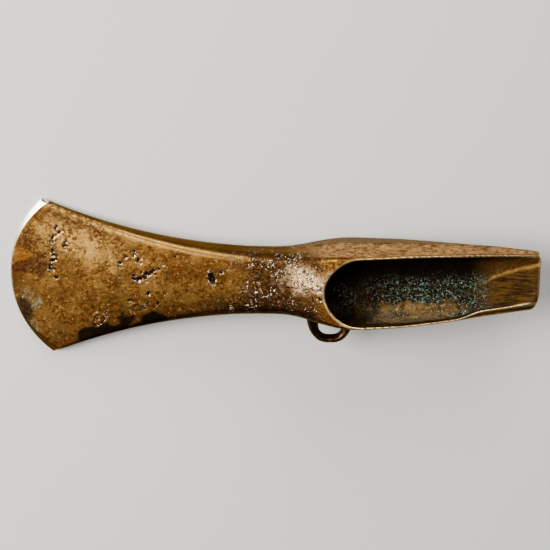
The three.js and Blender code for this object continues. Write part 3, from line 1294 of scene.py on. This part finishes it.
@dataclass(frozen=True)
class Pattern:
    """Noise, and the patches that are cut from it.

    Attributes:
        size: Feature size, in millimetres.
        detail: Number of finer octaves.
        roughness: How strong the finer octaves are.
        low: Noise at the border of a patch.
        high: Noise where the patch is full.
        distortion: How far the pattern is warped.
        stretch: Scale of the pattern along each axis.
    """

    size: float
    detail: float
    roughness: float
    low: float = 0.0
    high: float = 1.0
    distortion: float = 0.0
    stretch: Triple = (1.0, 1.0, 1.0)


class NodeSketch:
    """A short hand for wiring the nodes of one material."""

    def __init__(self, name: str) -> None:
        """Starts a material with one Principled shader.

        Args:
            name: The material's name.
        """
        self.material = bpy.data.materials.new(name)
        self.material.use_nodes = True
        self.tree = self.material.node_tree
        self.shader = self.tree.nodes["Principled BSDF"]
        where = self.node("TexCoord", {}, "Object")
        self.place = self.node("VectorMath", {0: where, "Scale": 1.0 / MM}, "Vector", operation="SCALE")

    def node(self, kind: str, inputs: dict[str | int, object], output: str | int = 0,
             **settings: object) -> bpy.types.NodeSocket:
        """Adds one node.

        Args:
            kind: Its type, without the ShaderNode that every type begins with.
            inputs: A value or another node's output for each input that is set.
            output: The output that is wanted.
            settings: The node's own settings.

        Returns:
            That output.
        """
        node = self.tree.nodes.new("ShaderNode" + kind)
        for name, setting in settings.items():
            setattr(node, name, setting)
        for name, value in inputs.items():
            self.feed(value, node.inputs[name])
        return node.outputs[output]

    def feed(self, value: object, socket: bpy.types.NodeSocket) -> None:
        """Links an output to a socket, or sets the socket to a plain value.

        Args:
            value: An output, a number, a vector or a colour.
            socket: The input that takes it.
        """
        if isinstance(value, bpy.types.NodeSocket):
            self.tree.links.new(value, socket)
        elif isinstance(value, tuple):
            socket.default_value = (*value, 1.0) if len(socket.default_value) == 4 else value
        else:
            socket.default_value = value

    def share(self, name: str) -> bpy.types.NodeSocket:
        """A named share from the mesh."""
        return self.node("Attribute", {}, "Fac", attribute_name=name)

    def maths(self, kind: str, a: object, b: object, clamp: bool = False) -> bpy.types.NodeSocket:
        """One sum, product or comparison."""
        return self.node("Math", {0: a, 1: b}, operation=kind, use_clamp=clamp)

    def times(self, a: object, b: object) -> bpy.types.NodeSocket:
        """The product of two numbers."""
        return self.maths("MULTIPLY", a, b)

    def noise(self, pattern: Pattern) -> bpy.types.NodeSocket:
        """A pattern's noise, uncut: a value around 0.5.

        Args:
            pattern: Which noise it is.

        Returns:
            The noise.
        """
        place = self.place
        if pattern.stretch != (1.0, 1.0, 1.0):
            place = self.node("VectorMath", {0: place, 1: pattern.stretch}, "Vector", operation="MULTIPLY")
        settings = {"Scale": 1.0 / pattern.size, "Detail": pattern.detail,
                    "Roughness": pattern.roughness, "Distortion": pattern.distortion}
        return self.node("TexNoise", {"Vector": place, **settings}, "Fac")

    def pocks(self, size: float) -> bpy.types.NodeSocket:
        """Distance to the nearest of many scattered points, 0 at a point."""
        return self.node("TexVoronoi", {"Vector": self.place, "Scale": 1.0 / size}, "Distance")

    def between(self, value: object, low: float, high: float) -> bpy.types.NodeSocket:
        """Rises smoothly from 0 at low to 1 at high. It falls where low is the greater.

        Args:
            value: The number that is cut.
            low: Where it gives 0.
            high: Where it gives 1.

        Returns:
            A number from 0 to 1.
        """
        ends = {"Value": value, "From Min": min(low, high), "From Max": max(low, high)}
        if low > high:
            ends.update({"To Min": 1.0, "To Max": 0.0})
        return self.node("MapRange", ends, "Result", interpolation_type="SMOOTHSTEP")

    def flecks(self, pattern: Pattern) -> bpy.types.NodeSocket:
        """1 in the patches that are cut from noise, 0 between them."""
        return self.between(self.noise(pattern), pattern.low, pattern.high)

    def mix(self, share: object, a: object, b: object) -> bpy.types.NodeSocket:
        """Colour a where the share is 0 and colour b where it is 1."""
        return self.node("Mix", {"Factor": share, "A": a, "B": b}, "Result", data_type="RGBA")

    def level(self, share: object, a: object, b: object) -> bpy.types.NodeSocket:
        """Number a where the share is 0 and number b where it is 1."""
        return self.node("Mix", {0: share, 2: a, 3: b}, data_type="FLOAT")

    def bump(self, share: str | None, height: object, depth: float, under: object = None
             ) -> bpy.types.NodeSocket:
        """A surface normal bumped by a height.

        Args:
            share: The share over which it is bumped, or none for all over.
            height: The height, around 0.5.
            depth: How many millimetres a height of 1 stands for.
            under: A bumped normal beneath it.

        Returns:
            The normal.
        """
        if share:
            height = self.level(self.share(share), 0.5, height)
        beneath = {} if under is None else {"Normal": under}
        return self.node("Bump", {"Height": height, "Distance": depth * MM, **beneath}, "Normal")


@dataclass
class Coating:
    """Patina laid coat over coat: the colour and roughness so far.

    Attributes:
        sketch: Where the nodes are wired.
        colour: Base colour so far.
        dull: Roughness so far.
    """

    sketch: NodeSketch
    colour: bpy.types.NodeSocket
    dull: bpy.types.NodeSocket

    def lay(self, share: object, tint: Colour, roughness: float, strength: float = 1.0) -> None:
        """Covers what is there with a tint.

        Args:
            share: How far it is covered, from 0 to 1.
            tint: The coat's colour.
            roughness: The coat's roughness.
            strength: The cover where the share is 1.
        """
        cover = self.sketch.maths("MULTIPLY", share, strength, clamp=True)
        self.colour = self.sketch.mix(cover, self.colour, tint)
        self.dull = self.sketch.level(cover, self.dull, roughness)

    def lay_each(self, *coats: Coat) -> None:
        """Lays coats in turn, each over a named share wherever a pattern breaks through it."""
        for name, pattern, tint, roughness, strength in coats:
            self.lay(self.sketch.times(self.sketch.share(name), pattern), tint, roughness, strength)


@dataclass(frozen=True)
class AgedBronze:
    """Golden-brown patina on worn bronze, with darker and greener patches, and painted highlights, glints
    and shade.

    It holds the colours of the coats, and then the patterns that they break up into.
    """

    gold: Colour = (0.200, 0.098, 0.0200)
    ochre: Colour = (0.088, 0.040, 0.0080)
    straw: Colour = (0.66, 0.370, 0.095)
    rust: Colour = (0.060, 0.0145, 0.0020)
    umber: Colour = (0.0052, 0.0030, 0.0018)
    violet: Colour = (0.030, 0.0085, 0.0055)
    amber: Colour = (0.27, 0.085, 0.007)
    slate: Colour = (0.010, 0.0080, 0.0060)
    verdigris: Colour = (0.17, 0.34, 0.24)
    moss: Colour = (0.070, 0.046, 0.014)
    rose: Colour = (0.72, 0.42, 0.200)
    walnut: Colour = (0.045, 0.0175, 0.0052)
    # near black in the beds: dark patina, deepened as painted shade of the flanges
    bed: Colour = (0.0036, 0.0026, 0.0018)
    # white-cyan for the painted glints in the crust
    glint_cyan: Colour = (0.62, 0.86, 0.80)
    bare: Colour = (0.95, 0.62, 0.27)
    # near-white, only for painted highlights and glints
    highlight_white: Colour = (1.0, 0.88, 0.70)
    # the colour of the painted highlight on the slope up to the stop
    wheat: Colour = (0.88, 0.58, 0.31)
    grazing: Colour = (0.70, 0.58, 0.42)
    broad: Pattern = Pattern(15.0, 4.0, 0.60, 0.38, 0.62)
    clouds: Pattern = Pattern(5.0, 6.0, 0.72, 0.41, 0.53)
    grains: Pattern = Pattern(1.1, 5.0, 0.80, 0.45, 0.54)
    dark_grains: Pattern = Pattern(1.0, 4.0, 0.80, 0.56, 0.63)
    light_grains: Pattern = Pattern(1.2, 5.0, 0.80, 0.57, 0.66)
    green_grains: Pattern = Pattern(2.2, 4.0, 0.65, 0.54, 0.66)
    green_drifts: Pattern = Pattern(19.0, 2.0, 0.55, 0.50, 0.60)
    mottle: Pattern = Pattern(1.2, 5.0, 0.68, 0.40, 0.56)
    specks: Pattern = Pattern(0.62, 4.0, 0.72, 0.48, 0.60)
    stains: Pattern = Pattern(1.7, 6.0, 0.80, 0.48, 0.58)
    streaks: Pattern = Pattern(3.0, 5.0, 0.75, 0.46, 0.60, 0.5, (0.35, 1.0, 1.0))
    pores: Pattern = Pattern(0.9, 4.0, 0.80, 0.53, 0.60)
    flakes: Pattern = Pattern(0.8, 4.0, 0.80, 0.53, 0.60)
    # painted glints over the pitted waist, and where they gather
    glint_specks: Pattern = Pattern(0.75, 3.0, 0.75, 0.57, 0.66)
    glint_drifts: Pattern = Pattern(5.0, 3.0, 0.55, 0.44, 0.58)
    # a ring of painted glints about each pit
    pit_glints: Pattern = Pattern(0.6, 4.0, 0.75, 0.54, 0.62)
    bed_mottle: Pattern = Pattern(1.6, 5.0, 0.70, 0.42, 0.58)
    bed_specks: Pattern = Pattern(0.95, 4.0, 0.80, 0.56, 0.63)
    # specks of painted glint in the crust
    bed_glints: Pattern = Pattern(0.60, 4.0, 0.80, 0.57, 0.62)
    bed_stains: Pattern = Pattern(2.4, 5.0, 0.75, 0.47, 0.57, 0.4, (0.45, 1.0, 1.0))
    bed_grit: Pattern = Pattern(0.8, 4.0, 0.78, 0.52, 0.64)
    grooves: Pattern = Pattern(0.6, 4.0, 0.72, 0.45, 0.57, 0.0, (0.10, 0.85, 0.5))

    def material(self) -> bpy.types.Material:
        """Builds the material.

        Returns:
            The material, which reads the shares that the patina map keeps on the mesh.
        """
        sketch = NodeSketch("aged_bronze")
        share, shader = sketch.share, sketch.shader.inputs
        torn = self._torn_pits(sketch)
        # painted glints: near-white specks in a ring about each pit
        rims = sketch.times(sketch.between(share("pit"), 0.05, 0.30), sketch.flecks(self.pit_glints))
        coating = self._metal_skin(sketch)
        self._age_skin(sketch, coating)
        self._age_haft(sketch, coating)
        coating.lay(rims, self.highlight_white, 0.18, 0.62)
        coating.lay(torn, self.umber, 0.45)
        coating.lay(share("rim"), self.bare, 0.20, 0.9)
        coating.lay(share("bevel"), self.gold, 0.26, 0.8)
        # painted highlight: near-white over the bevel's upper half
        coating.lay(share("keen"), self.highlight_white, 0.16, 0.96)
        sketch.feed(coating.colour, shader["Base Color"])
        sketch.feed(coating.dull, shader["Roughness"])
        sketch.feed(self._metal(sketch), shader["Metallic"])
        sketch.feed(self.grazing, shader["Specular Tint"])
        sketch.feed(self._relief(sketch, torn), shader["Normal"])
        return sketch.material

    @staticmethod
    def _torn_pits(sketch: NodeSketch) -> bpy.types.NodeSocket:
        """Ragged black openings inside the casting pits.

        Args:
            sketch: Where the nodes are wired.

        Returns:
            1 in an opening and 0 outside it.
        """
        noise = sketch.noise(Pattern(0.7, 4.0, 0.75))
        ragged = sketch.times(sketch.maths("SUBTRACT", noise, 0.5), 3.2)
        return sketch.between(sketch.maths("ADD", sketch.share("pit"), ragged), 0.74, 0.86)

    def _metal_skin(self, sketch: NodeSketch) -> Coating:
        """The mottled golden skin that the other coats lie on.

        Args:
            sketch: Where the nodes are wired.

        Returns:
            The coating to lay the others on.
        """
        fine = sketch.noise(Pattern(1.7, 5.0, 0.68, distortion=0.5))
        base = sketch.mix(sketch.flecks(self.broad), self.ochre, self.gold)
        coating = Coating(sketch, base, sketch.level(fine, 0.26, 0.44))
        coating.lay_each(
            # painted light: straw over the pale blotch, where the key lamp falls
            ("pale", sketch.level(fine, 0.2, 1.2), self.straw, 0.28, 0.92),
            # painted shade: walnut over the faces' loop side
            ("face_low_shade", sketch.level(fine, 1.2, 0.6), self.walnut, 0.40, 0.60),
        )
        rusty = sketch.times(sketch.flecks(self.clouds), sketch.flecks(self.grains))
        green = sketch.times(sketch.flecks(self.green_grains), sketch.flecks(self.green_drifts))
        coating.lay(rusty, self.rust, 0.42, 0.88)
        coating.lay(sketch.flecks(self.dark_grains), self.umber, 0.40, 0.72)
        coating.lay(sketch.flecks(self.light_grains), self.straw, 0.30, 0.50)
        coating.lay(sketch.between(sketch.pocks(3.4), 0.10, 0.06), self.umber, 0.40, 0.9)
        coating.lay(green, self.moss, 0.42, 0.55)
        return coating

    def _age_skin(self, sketch: NodeSketch, coating: Coating) -> None:
        """Lays the coats on the blade, the waist, the flanks and the loop.

        Args:
            sketch: Where the nodes are wired.
            coating: What they are laid on.
        """
        level, mottle, specks = sketch.level, sketch.flecks(self.mottle), sketch.flecks(self.specks)
        stains, streaks = sketch.flecks(self.stains), sketch.flecks(self.streaks)
        glints = sketch.times(sketch.flecks(self.glint_specks), sketch.flecks(self.glint_drifts))
        coating.lay_each(
            # painted highlight: straw along the upper arris
            ("arris", level(mottle, 1.0, 0.55), self.straw, 0.26, 0.8),
            ("flank_blade", level(mottle, 0.6, 1.0), self.walnut, 0.38, 0.85),
            ("flank", level(mottle, 1.0, 0.6), self.rose, 0.34, 0.9),
            # painted shade: moss over the back half of the sides, with a greenish tint
            ("flank_back_shade", level(mottle, 0.8, 1.0), self.moss, 0.50, 0.97),
            ("flank", stains, self.rust, 0.42, 0.78),
            ("flank", streaks, self.walnut, 0.40, 0.45),
            ("flank", specks, self.violet, 0.40, 0.35),
            ("russet", level(mottle, 0.1, 1.0), self.violet, 0.40, 0.74),
            ("waist", level(mottle, 0.35, 1.0), self.walnut, 0.30, 0.88),
            ("waist", specks, self.umber, 0.24, 0.92),
            # painted highlight: wheat over the sheen, broken by dark pores
            ("sheen", level(specks, 1.0, 0.0), self.wheat, 0.24, 0.86),
            ("sheen", sketch.flecks(self.pores), self.umber, 0.30, 0.80),
            # painted glints: near-white specks over the pitted waist
            ("waist", glints, self.highlight_white, 0.14, 0.95),
            # painted shade: umber along the waist's loop side
            ("waist_low_shade", level(mottle, 0.75, 1.0), self.umber, 0.34, 0.95),
            ("amber", level(mottle, 1.0, 0.25), self.amber, 0.34, 0.85),
            ("violet", level(specks, 0.40, 1.0), self.violet, 0.34, 0.95),
            ("slate", level(mottle, 0.6, 1.0), self.slate, 0.38, 0.9),
            ("umber", level(specks, 0.94, 1.0), self.umber, 0.36, 1.0),
            # painted shade: umber over the loop
            ("loop", level(mottle, 0.8, 1.0), self.umber, 0.36, 0.9),
            ("verdigris", sketch.flecks(self.flakes), self.verdigris, 0.50, 0.85),
        )

    def _age_haft(self, sketch: NodeSketch, coating: Coating) -> None:
        """Lays the coats in the haft beds and on the butt.

        Args:
            sketch: Where the nodes are wired.
            coating: What they are laid on.
        """
        level, mottle, grit = sketch.level, sketch.flecks(self.bed_mottle), sketch.flecks(self.bed_grit)
        grooves = sketch.flecks(self.grooves)
        # the beds near black: dark patina, deepened as painted shade of the flanges
        coating.lay(sketch.share("bed"), self.bed, 0.42, 0.97)
        coating.lay_each(
            # painted light: the bed's lower part lifted out of the dark with walnut and moss
            ("lit", mottle, self.walnut, 0.40, 0.6),
            ("lit", grit, self.moss, 0.34, 0.8),
            # painted light: straw and amber on the lower wall, which faces the light, with rust stains and
            # dark grit on it
            ("wall", level(mottle, 0.4, 1.0), self.straw, 0.32, 0.80),
            ("wall", mottle, self.amber, 0.32, 0.45),
            ("wall", sketch.flecks(self.bed_stains), self.rust, 0.34, 0.80),
            ("wall", grit, self.bed, 0.34, 0.60),
            ("crust", sketch.flecks(self.bed_specks), self.verdigris, 0.34, 0.95),
            # painted glints: white-cyan specks in the crust where it catches the light
            ("crust", sketch.flecks(self.bed_glints), self.glint_cyan, 0.22, 0.95),
            ("butt", level(grooves, 0.85, 1.0), self.walnut, 0.34, 0.95),
            ("butt", mottle, self.moss, 0.36, 0.45),
            ("butt", grooves, self.gold, 0.28, 0.70),
            ("strip", level(grit, 0.45, 1.0), self.gold, 0.34, 0.9),
            # painted highlight: straw along the torn ridge
            ("ridge", level(mottle, 0.5, 1.0), self.straw, 0.26, 0.9),
        )

    @staticmethod
    def _metal(sketch: NodeSketch) -> bpy.types.NodeSocket:
        """How metallic the surface is: a little less where corrosion covers it.

        Args:
            sketch: Where the nodes are wired.

        Returns:
            The metallic share.
        """
        covered = sketch.maths("MAXIMUM", sketch.share("umber"), sketch.share("verdigris"))
        covered = sketch.maths("MAXIMUM", covered, sketch.times(sketch.share("bed"), 0.6))
        return sketch.level(covered, 0.98, 0.96)

    @staticmethod
    def _relief(sketch: NodeSketch, torn: bpy.types.NodeSocket) -> bpy.types.NodeSocket:
        """Fine relief that the mesh can't hold: grain, pores, and crust in the beds.

        Args:
            sketch: Where the nodes are wired.
            torn: The openings of the casting pits.

        Returns:
            The bumped normal.
        """
        grain = sketch.level(sketch.share("bevel"), sketch.noise(Pattern(1.3, 5.0, 0.7)), 0.5)
        pores = sketch.level(sketch.share("waist"), 1.0, sketch.between(sketch.pocks(0.85), 0.05, 0.36))
        skin = sketch.bump(None, pores, 0.26, sketch.bump(None, grain, 0.10))
        for share, pattern, depth in (
            ("waist", Pattern(0.55, 3.0, 0.7), 0.30),
            ("bed", Pattern(1.2, 5.0, 0.75), 0.95),
            ("butt", Pattern(1.0, 4.0, 0.75, stretch=(0.09, 1.2, 0.6)), 0.40),
        ):
            skin = sketch.bump(share, sketch.noise(pattern), depth, skin)
        return sketch.bump(None, sketch.maths("SUBTRACT", 1.0, torn), 0.30, skin)


@dataclass(frozen=True)
class PalePlaster:
    """The plain pale studio floor."""

    tint: Colour = (0.80, 0.79, 0.77)
    roughness: float = 0.75

    def material(self) -> bpy.types.Material:
        """Builds the material.

        Returns:
            The material.
        """
        sketch = NodeSketch("pale_floor")
        sketch.feed(self.tint, sketch.shader.inputs["Base Color"])
        sketch.feed(self.roughness, sketch.shader.inputs["Roughness"])
        return sketch.material


# ---- The axe head ---------------------------------------------------------------------------------------


@dataclass
class AxeHead:
    """The worn and patinated casting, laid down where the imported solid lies.

    Attributes:
        casting: Its shape.
        finish: Its patina.
        edge_at: The middle of the cutting edge, in millimetres from the middle of the solid's
            box on the ground.
        honed: How near the cutting edge a vertex counts as on it.
        bevel_at: How far behind the edge its shading is taken from.
    """

    casting: Casting = field(default_factory=Casting)
    finish: AgedBronze = field(default_factory=AgedBronze)
    edge_at: Triple = (-81.88, -0.6, 0.245)
    honed: float = 0.05
    bevel_at: float = 0.4

    def turn(self, vectors: Array) -> Array:
        """Turns vectors from the axe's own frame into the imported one.

        Args:
            vectors: Vectors in the axe's frame, one row each.

        Returns:
            The turned vectors.
        """
        angle = self.casting.profile.lying_angle()
        cosine, sine = math.cos(angle), math.sin(angle)
        return vectors @ np.array([[cosine, 0.0, sine], [0.0, 1.0, 0.0], [-sine, 0.0, cosine]])

    def lay_down(self, points: Array) -> Array:
        """Moves points from the axe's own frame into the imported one.

        Args:
            points: Places in the axe's frame, in millimetres.

        Returns:
            The same places in metres, centred in the solid's box and touching the ground.
        """
        turned = self.turn(points) * MM
        low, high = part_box(NODE)
        middle = (turned.min(axis=0) + turned.max(axis=0)) / 2.0
        return turned + np.array([(low.x + high.x) / 2.0 - middle[0], (low.y + high.y) / 2.0 - middle[1],
                                  low.z - turned[:, 2].min()])

    def axis_middle(self) -> Vector:
        """Finds the middle of the axe's axis.

        Returns:
            The place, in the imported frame.
        """
        low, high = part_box(NODE)
        along = self.turn(np.array([self.casting.profile.length / 2.0, 0.0, 0.0]))
        ground = Vector(((low.x + high.x) / 2.0, (low.y + high.y) / 2.0, 0.0))
        return ground + (Vector(along) + Vector(self.edge_at)) * MM

    def build(self) -> bpy.types.Object:
        """Makes the mesh with its named shares and its finish.

        Returns:
            The finished piece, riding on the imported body.
        """
        smooth, quads = SurfaceNet(self.casting).build()
        slope = self.casting.slope(smooth)
        normals = slope / (np.linalg.norm(slope, axis=1, keepdims=True) + TINY)
        wear, spots = Wear(self.casting), Spots(self.casting, smooth)
        worn = smooth + normals * wear.heights(spots)[:, None]
        mesh = self._mesh(self.lay_down(worn), quads)
        self._sharpen(mesh, smooth)
        for name, share in PatinaMap(wear).shares(spots).items():
            layer = mesh.attributes.new(name, "FLOAT", "POINT")
            layer.data.foreach_set("value", np.clip(share, 0.0, 1.0).astype(np.float32))
        mesh.materials.append(self.finish.material())
        piece = bpy.data.objects.new("palstave", mesh)
        bpy.context.scene.collection.objects.link(piece)
        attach(piece, BODY)
        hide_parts(NODE)
        return piece

    def _sharpen(self, mesh: bpy.types.Mesh, points: Array) -> None:
        """Shades the cutting edge as the end of its bevels, rather than as a round.

        Args:
            mesh: The mesh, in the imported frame.
            points: Its vertices on the smooth casting, in the axe's own frame.
        """
        edge = self.casting.edge
        normals = np.empty(len(points) * 3, np.float32)
        mesh.vertex_normals.foreach_get("vector", normals)
        normals = normals.reshape(-1, 3).astype(float)
        x, y, z = points.T
        on_edge = (edge.inland(x, y) < self.honed) & (x < edge.radius / 2.0)
        on_edge &= np.abs(z) > self.bevel_at * edge.sharpness
        behind = points[on_edge]
        centre = np.array([edge.radius, edge.centre_y])
        behind[:, :2] += (centre - behind[:, :2]) * self.bevel_at / edge.radius
        behind[:, 2] = np.sign(behind[:, 2]) * edge.cap(np.array(self.bevel_at))
        turned = self.turn(self.casting.slope(behind))
        normals[on_edge] = turned / (np.linalg.norm(turned, axis=1, keepdims=True) + TINY)
        mesh.normals_split_custom_set_from_vertices(normals.tolist())

    @staticmethod
    def _mesh(vertices: Array, quads: Array) -> bpy.types.Mesh:
        """A smooth-shaded mesh.

        Args:
            vertices: Its vertices, one row each.
            quads: Four vertex numbers for each face.

        Returns:
            The mesh.
        """
        mesh = bpy.data.meshes.new("palstave")
        mesh.vertices.add(len(vertices))
        mesh.vertices.foreach_set("co", vertices.astype(np.float32).ravel())
        mesh.loops.add(quads.size)
        mesh.loops.foreach_set("vertex_index", quads.astype(np.int32).ravel())
        mesh.polygons.add(len(quads))
        mesh.polygons.foreach_set("loop_start", np.arange(0, quads.size, 4, dtype=np.int32))
        mesh.update(calc_edges=True)
        mesh.validate()
        mesh.shade_smooth()
        return mesh


# ---- The studio ------------------------------------------------------------------------------


@dataclass(frozen=True)
class Floor:
    """A wide plain floor under the axe."""

    half: float = 3.0  # metres
    finish: PalePlaster = PalePlaster()

    def build(self) -> bpy.types.Object:
        """Makes the floor.

        Returns:
            The floor.
        """
        mesh = bpy.data.meshes.new("floor")
        corners = [(-self.half, -self.half, 0), (self.half, -self.half, 0),
                   (self.half, self.half, 0), (-self.half, self.half, 0)]
        mesh.from_pydata(corners, [], [(0, 1, 2, 3)])
        mesh.materials.append(self.finish.material())
        floor = bpy.data.objects.new("floor", mesh)
        bpy.context.scene.collection.objects.link(floor)
        return floor


@dataclass(frozen=True)
class Softbox:
    """A soft square lamp that faces the axe.

    Attributes:
        name: The lamp's name.
        towards: Direction from the axe to the lamp.
        distance: How far away it is, in metres.
        size: Width of its face, in metres.
        power: Its power, in watts.
        tint: Its colour.
    """

    name: str
    towards: Triple
    distance: float
    size: float
    power: float
    tint: Colour = (1.0, 1.0, 1.0)

    def build(self, target: Vector) -> bpy.types.Object:
        """Hangs the lamp.

        Args:
            target: The place that it faces.

        Returns:
            The lamp.
        """
        lamp = bpy.data.lights.new(self.name, "AREA")
        lamp.shape, lamp.size, lamp.energy, lamp.color = "SQUARE", self.size, self.power, self.tint
        holder = bpy.data.objects.new(self.name, lamp)
        away = Vector(self.towards).normalized()
        holder.location = target + away * self.distance
        holder.rotation_euler = away.to_track_quat("Z", "Y").to_euler()
        bpy.context.scene.collection.objects.link(holder)
        return holder


@dataclass(frozen=True)
class Studio:
    """Soft lamps and a pale surrounding."""

    ambience: float = 0.15
    sky: Colour = (0.93, 0.95, 1.0)
    lamps: tuple[Softbox, ...] = (
        Softbox("key", (-0.66, 0.20, 0.72), 0.9, 0.38, 11.0, (1.0, 0.96, 0.90)),
        Softbox("rake", (-0.84, 0.26, 0.48), 0.9, 0.34, 5.0, (1.0, 0.96, 0.90)),
        Softbox("upper", (0.12, 0.88, 0.50), 0.9, 0.42, 5.0, (1.0, 0.97, 0.93)),
        Softbox("above", (-0.20, -0.10, 0.97), 1.3, 0.5, 2.0),
    )

    def build(self) -> list[bpy.types.Object]:
        """Hangs the lamps and sets the surrounding light.

        Returns:
            The lamps.
        """
        world = bpy.data.worlds.new("studio")
        world.use_nodes = True
        back = world.node_tree.nodes["Background"]
        back.inputs["Color"].default_value = (*self.sky, 1.0)
        back.inputs["Strength"].default_value = self.ambience
        bpy.context.scene.world = world
        low, high = CAD_BOX
        target = (Vector(low) + Vector(high)) / 2.0
        return [lamp.build(target) for lamp in self.lamps]


@dataclass(frozen=True)
class Camera:
    """The view: square above the front face, tipped a little to show the upper side.

    Attributes:
        tip: How far it is tipped towards +y from square above the face, in degrees.
        roll: How far the axe's axis falls to the right, in degrees.
        distance: From the lens to the axe, in metres.
        lens: Focal length, in millimetres.
        raised: How far above the axis it aims, across the picture, in millimetres.
        sensor: Width of its sensor, in millimetres.
        clip: Nearest and furthest that it sees, in metres.
    """

    tip: float = 14.0
    roll: float = 0.69
    distance: float = 0.64
    lens: float = 134.2
    raised: float = 1.5
    sensor: float = 36.0
    clip: Pair = (0.01, 20.0)

    def build(self, axe: AxeHead) -> bpy.types.Object:
        """Places the camera.

        Args:
            axe: The axe head, for how it lies.

        Returns:
            The camera.
        """
        tip, roll = math.radians(self.tip), math.radians(self.roll)
        angle = axe.casting.profile.lying_angle()
        lying = Matrix.Rotation(-angle, 3, "Y")
        away = Vector((0.0, math.sin(tip), math.cos(tip)))
        level, up = Vector((1.0, 0.0, 0.0)), Vector((0.0, math.cos(tip), -math.sin(tip)))
        right = level * math.cos(roll) + up * math.sin(roll)
        top = up * math.cos(roll) - level * math.sin(roll)
        turn = lying @ Matrix((right, top, away)).transposed()
        lens = bpy.data.cameras.new("view")
        lens.lens, lens.sensor_width = self.lens, self.sensor
        lens.clip_start, lens.clip_end = self.clip
        camera = bpy.data.objects.new("view", lens)
        place = axe.axis_middle() + turn @ Vector((0.0, self.raised * MM, self.distance))
        camera.matrix_world = Matrix.Translation(place) @ turn.to_4x4()
        bpy.context.scene.collection.objects.link(camera)
        bpy.context.scene.camera = camera
        return camera


def main() -> None:
    """Builds the axe head and its studio, and reports each piece."""
    logging.basicConfig(level=logging.INFO, format="%(message)s")
    axe = AxeHead()
    piece = axe.build()
    log.info("%s: %d vertices, %d quads", piece.name, len(piece.data.vertices), len(piece.data.polygons))
    floor = Floor().build()
    log.info("%s: stage", floor.name)
    for lamp in Studio().build():
        log.info("lamp %s: %.1f W", lamp.name, lamp.data.energy)
    camera = Camera().build(axe)
    log.info("camera %s: %.1f mm", camera.name, camera.data.lens)


if __name__ == "__main__":
    main()
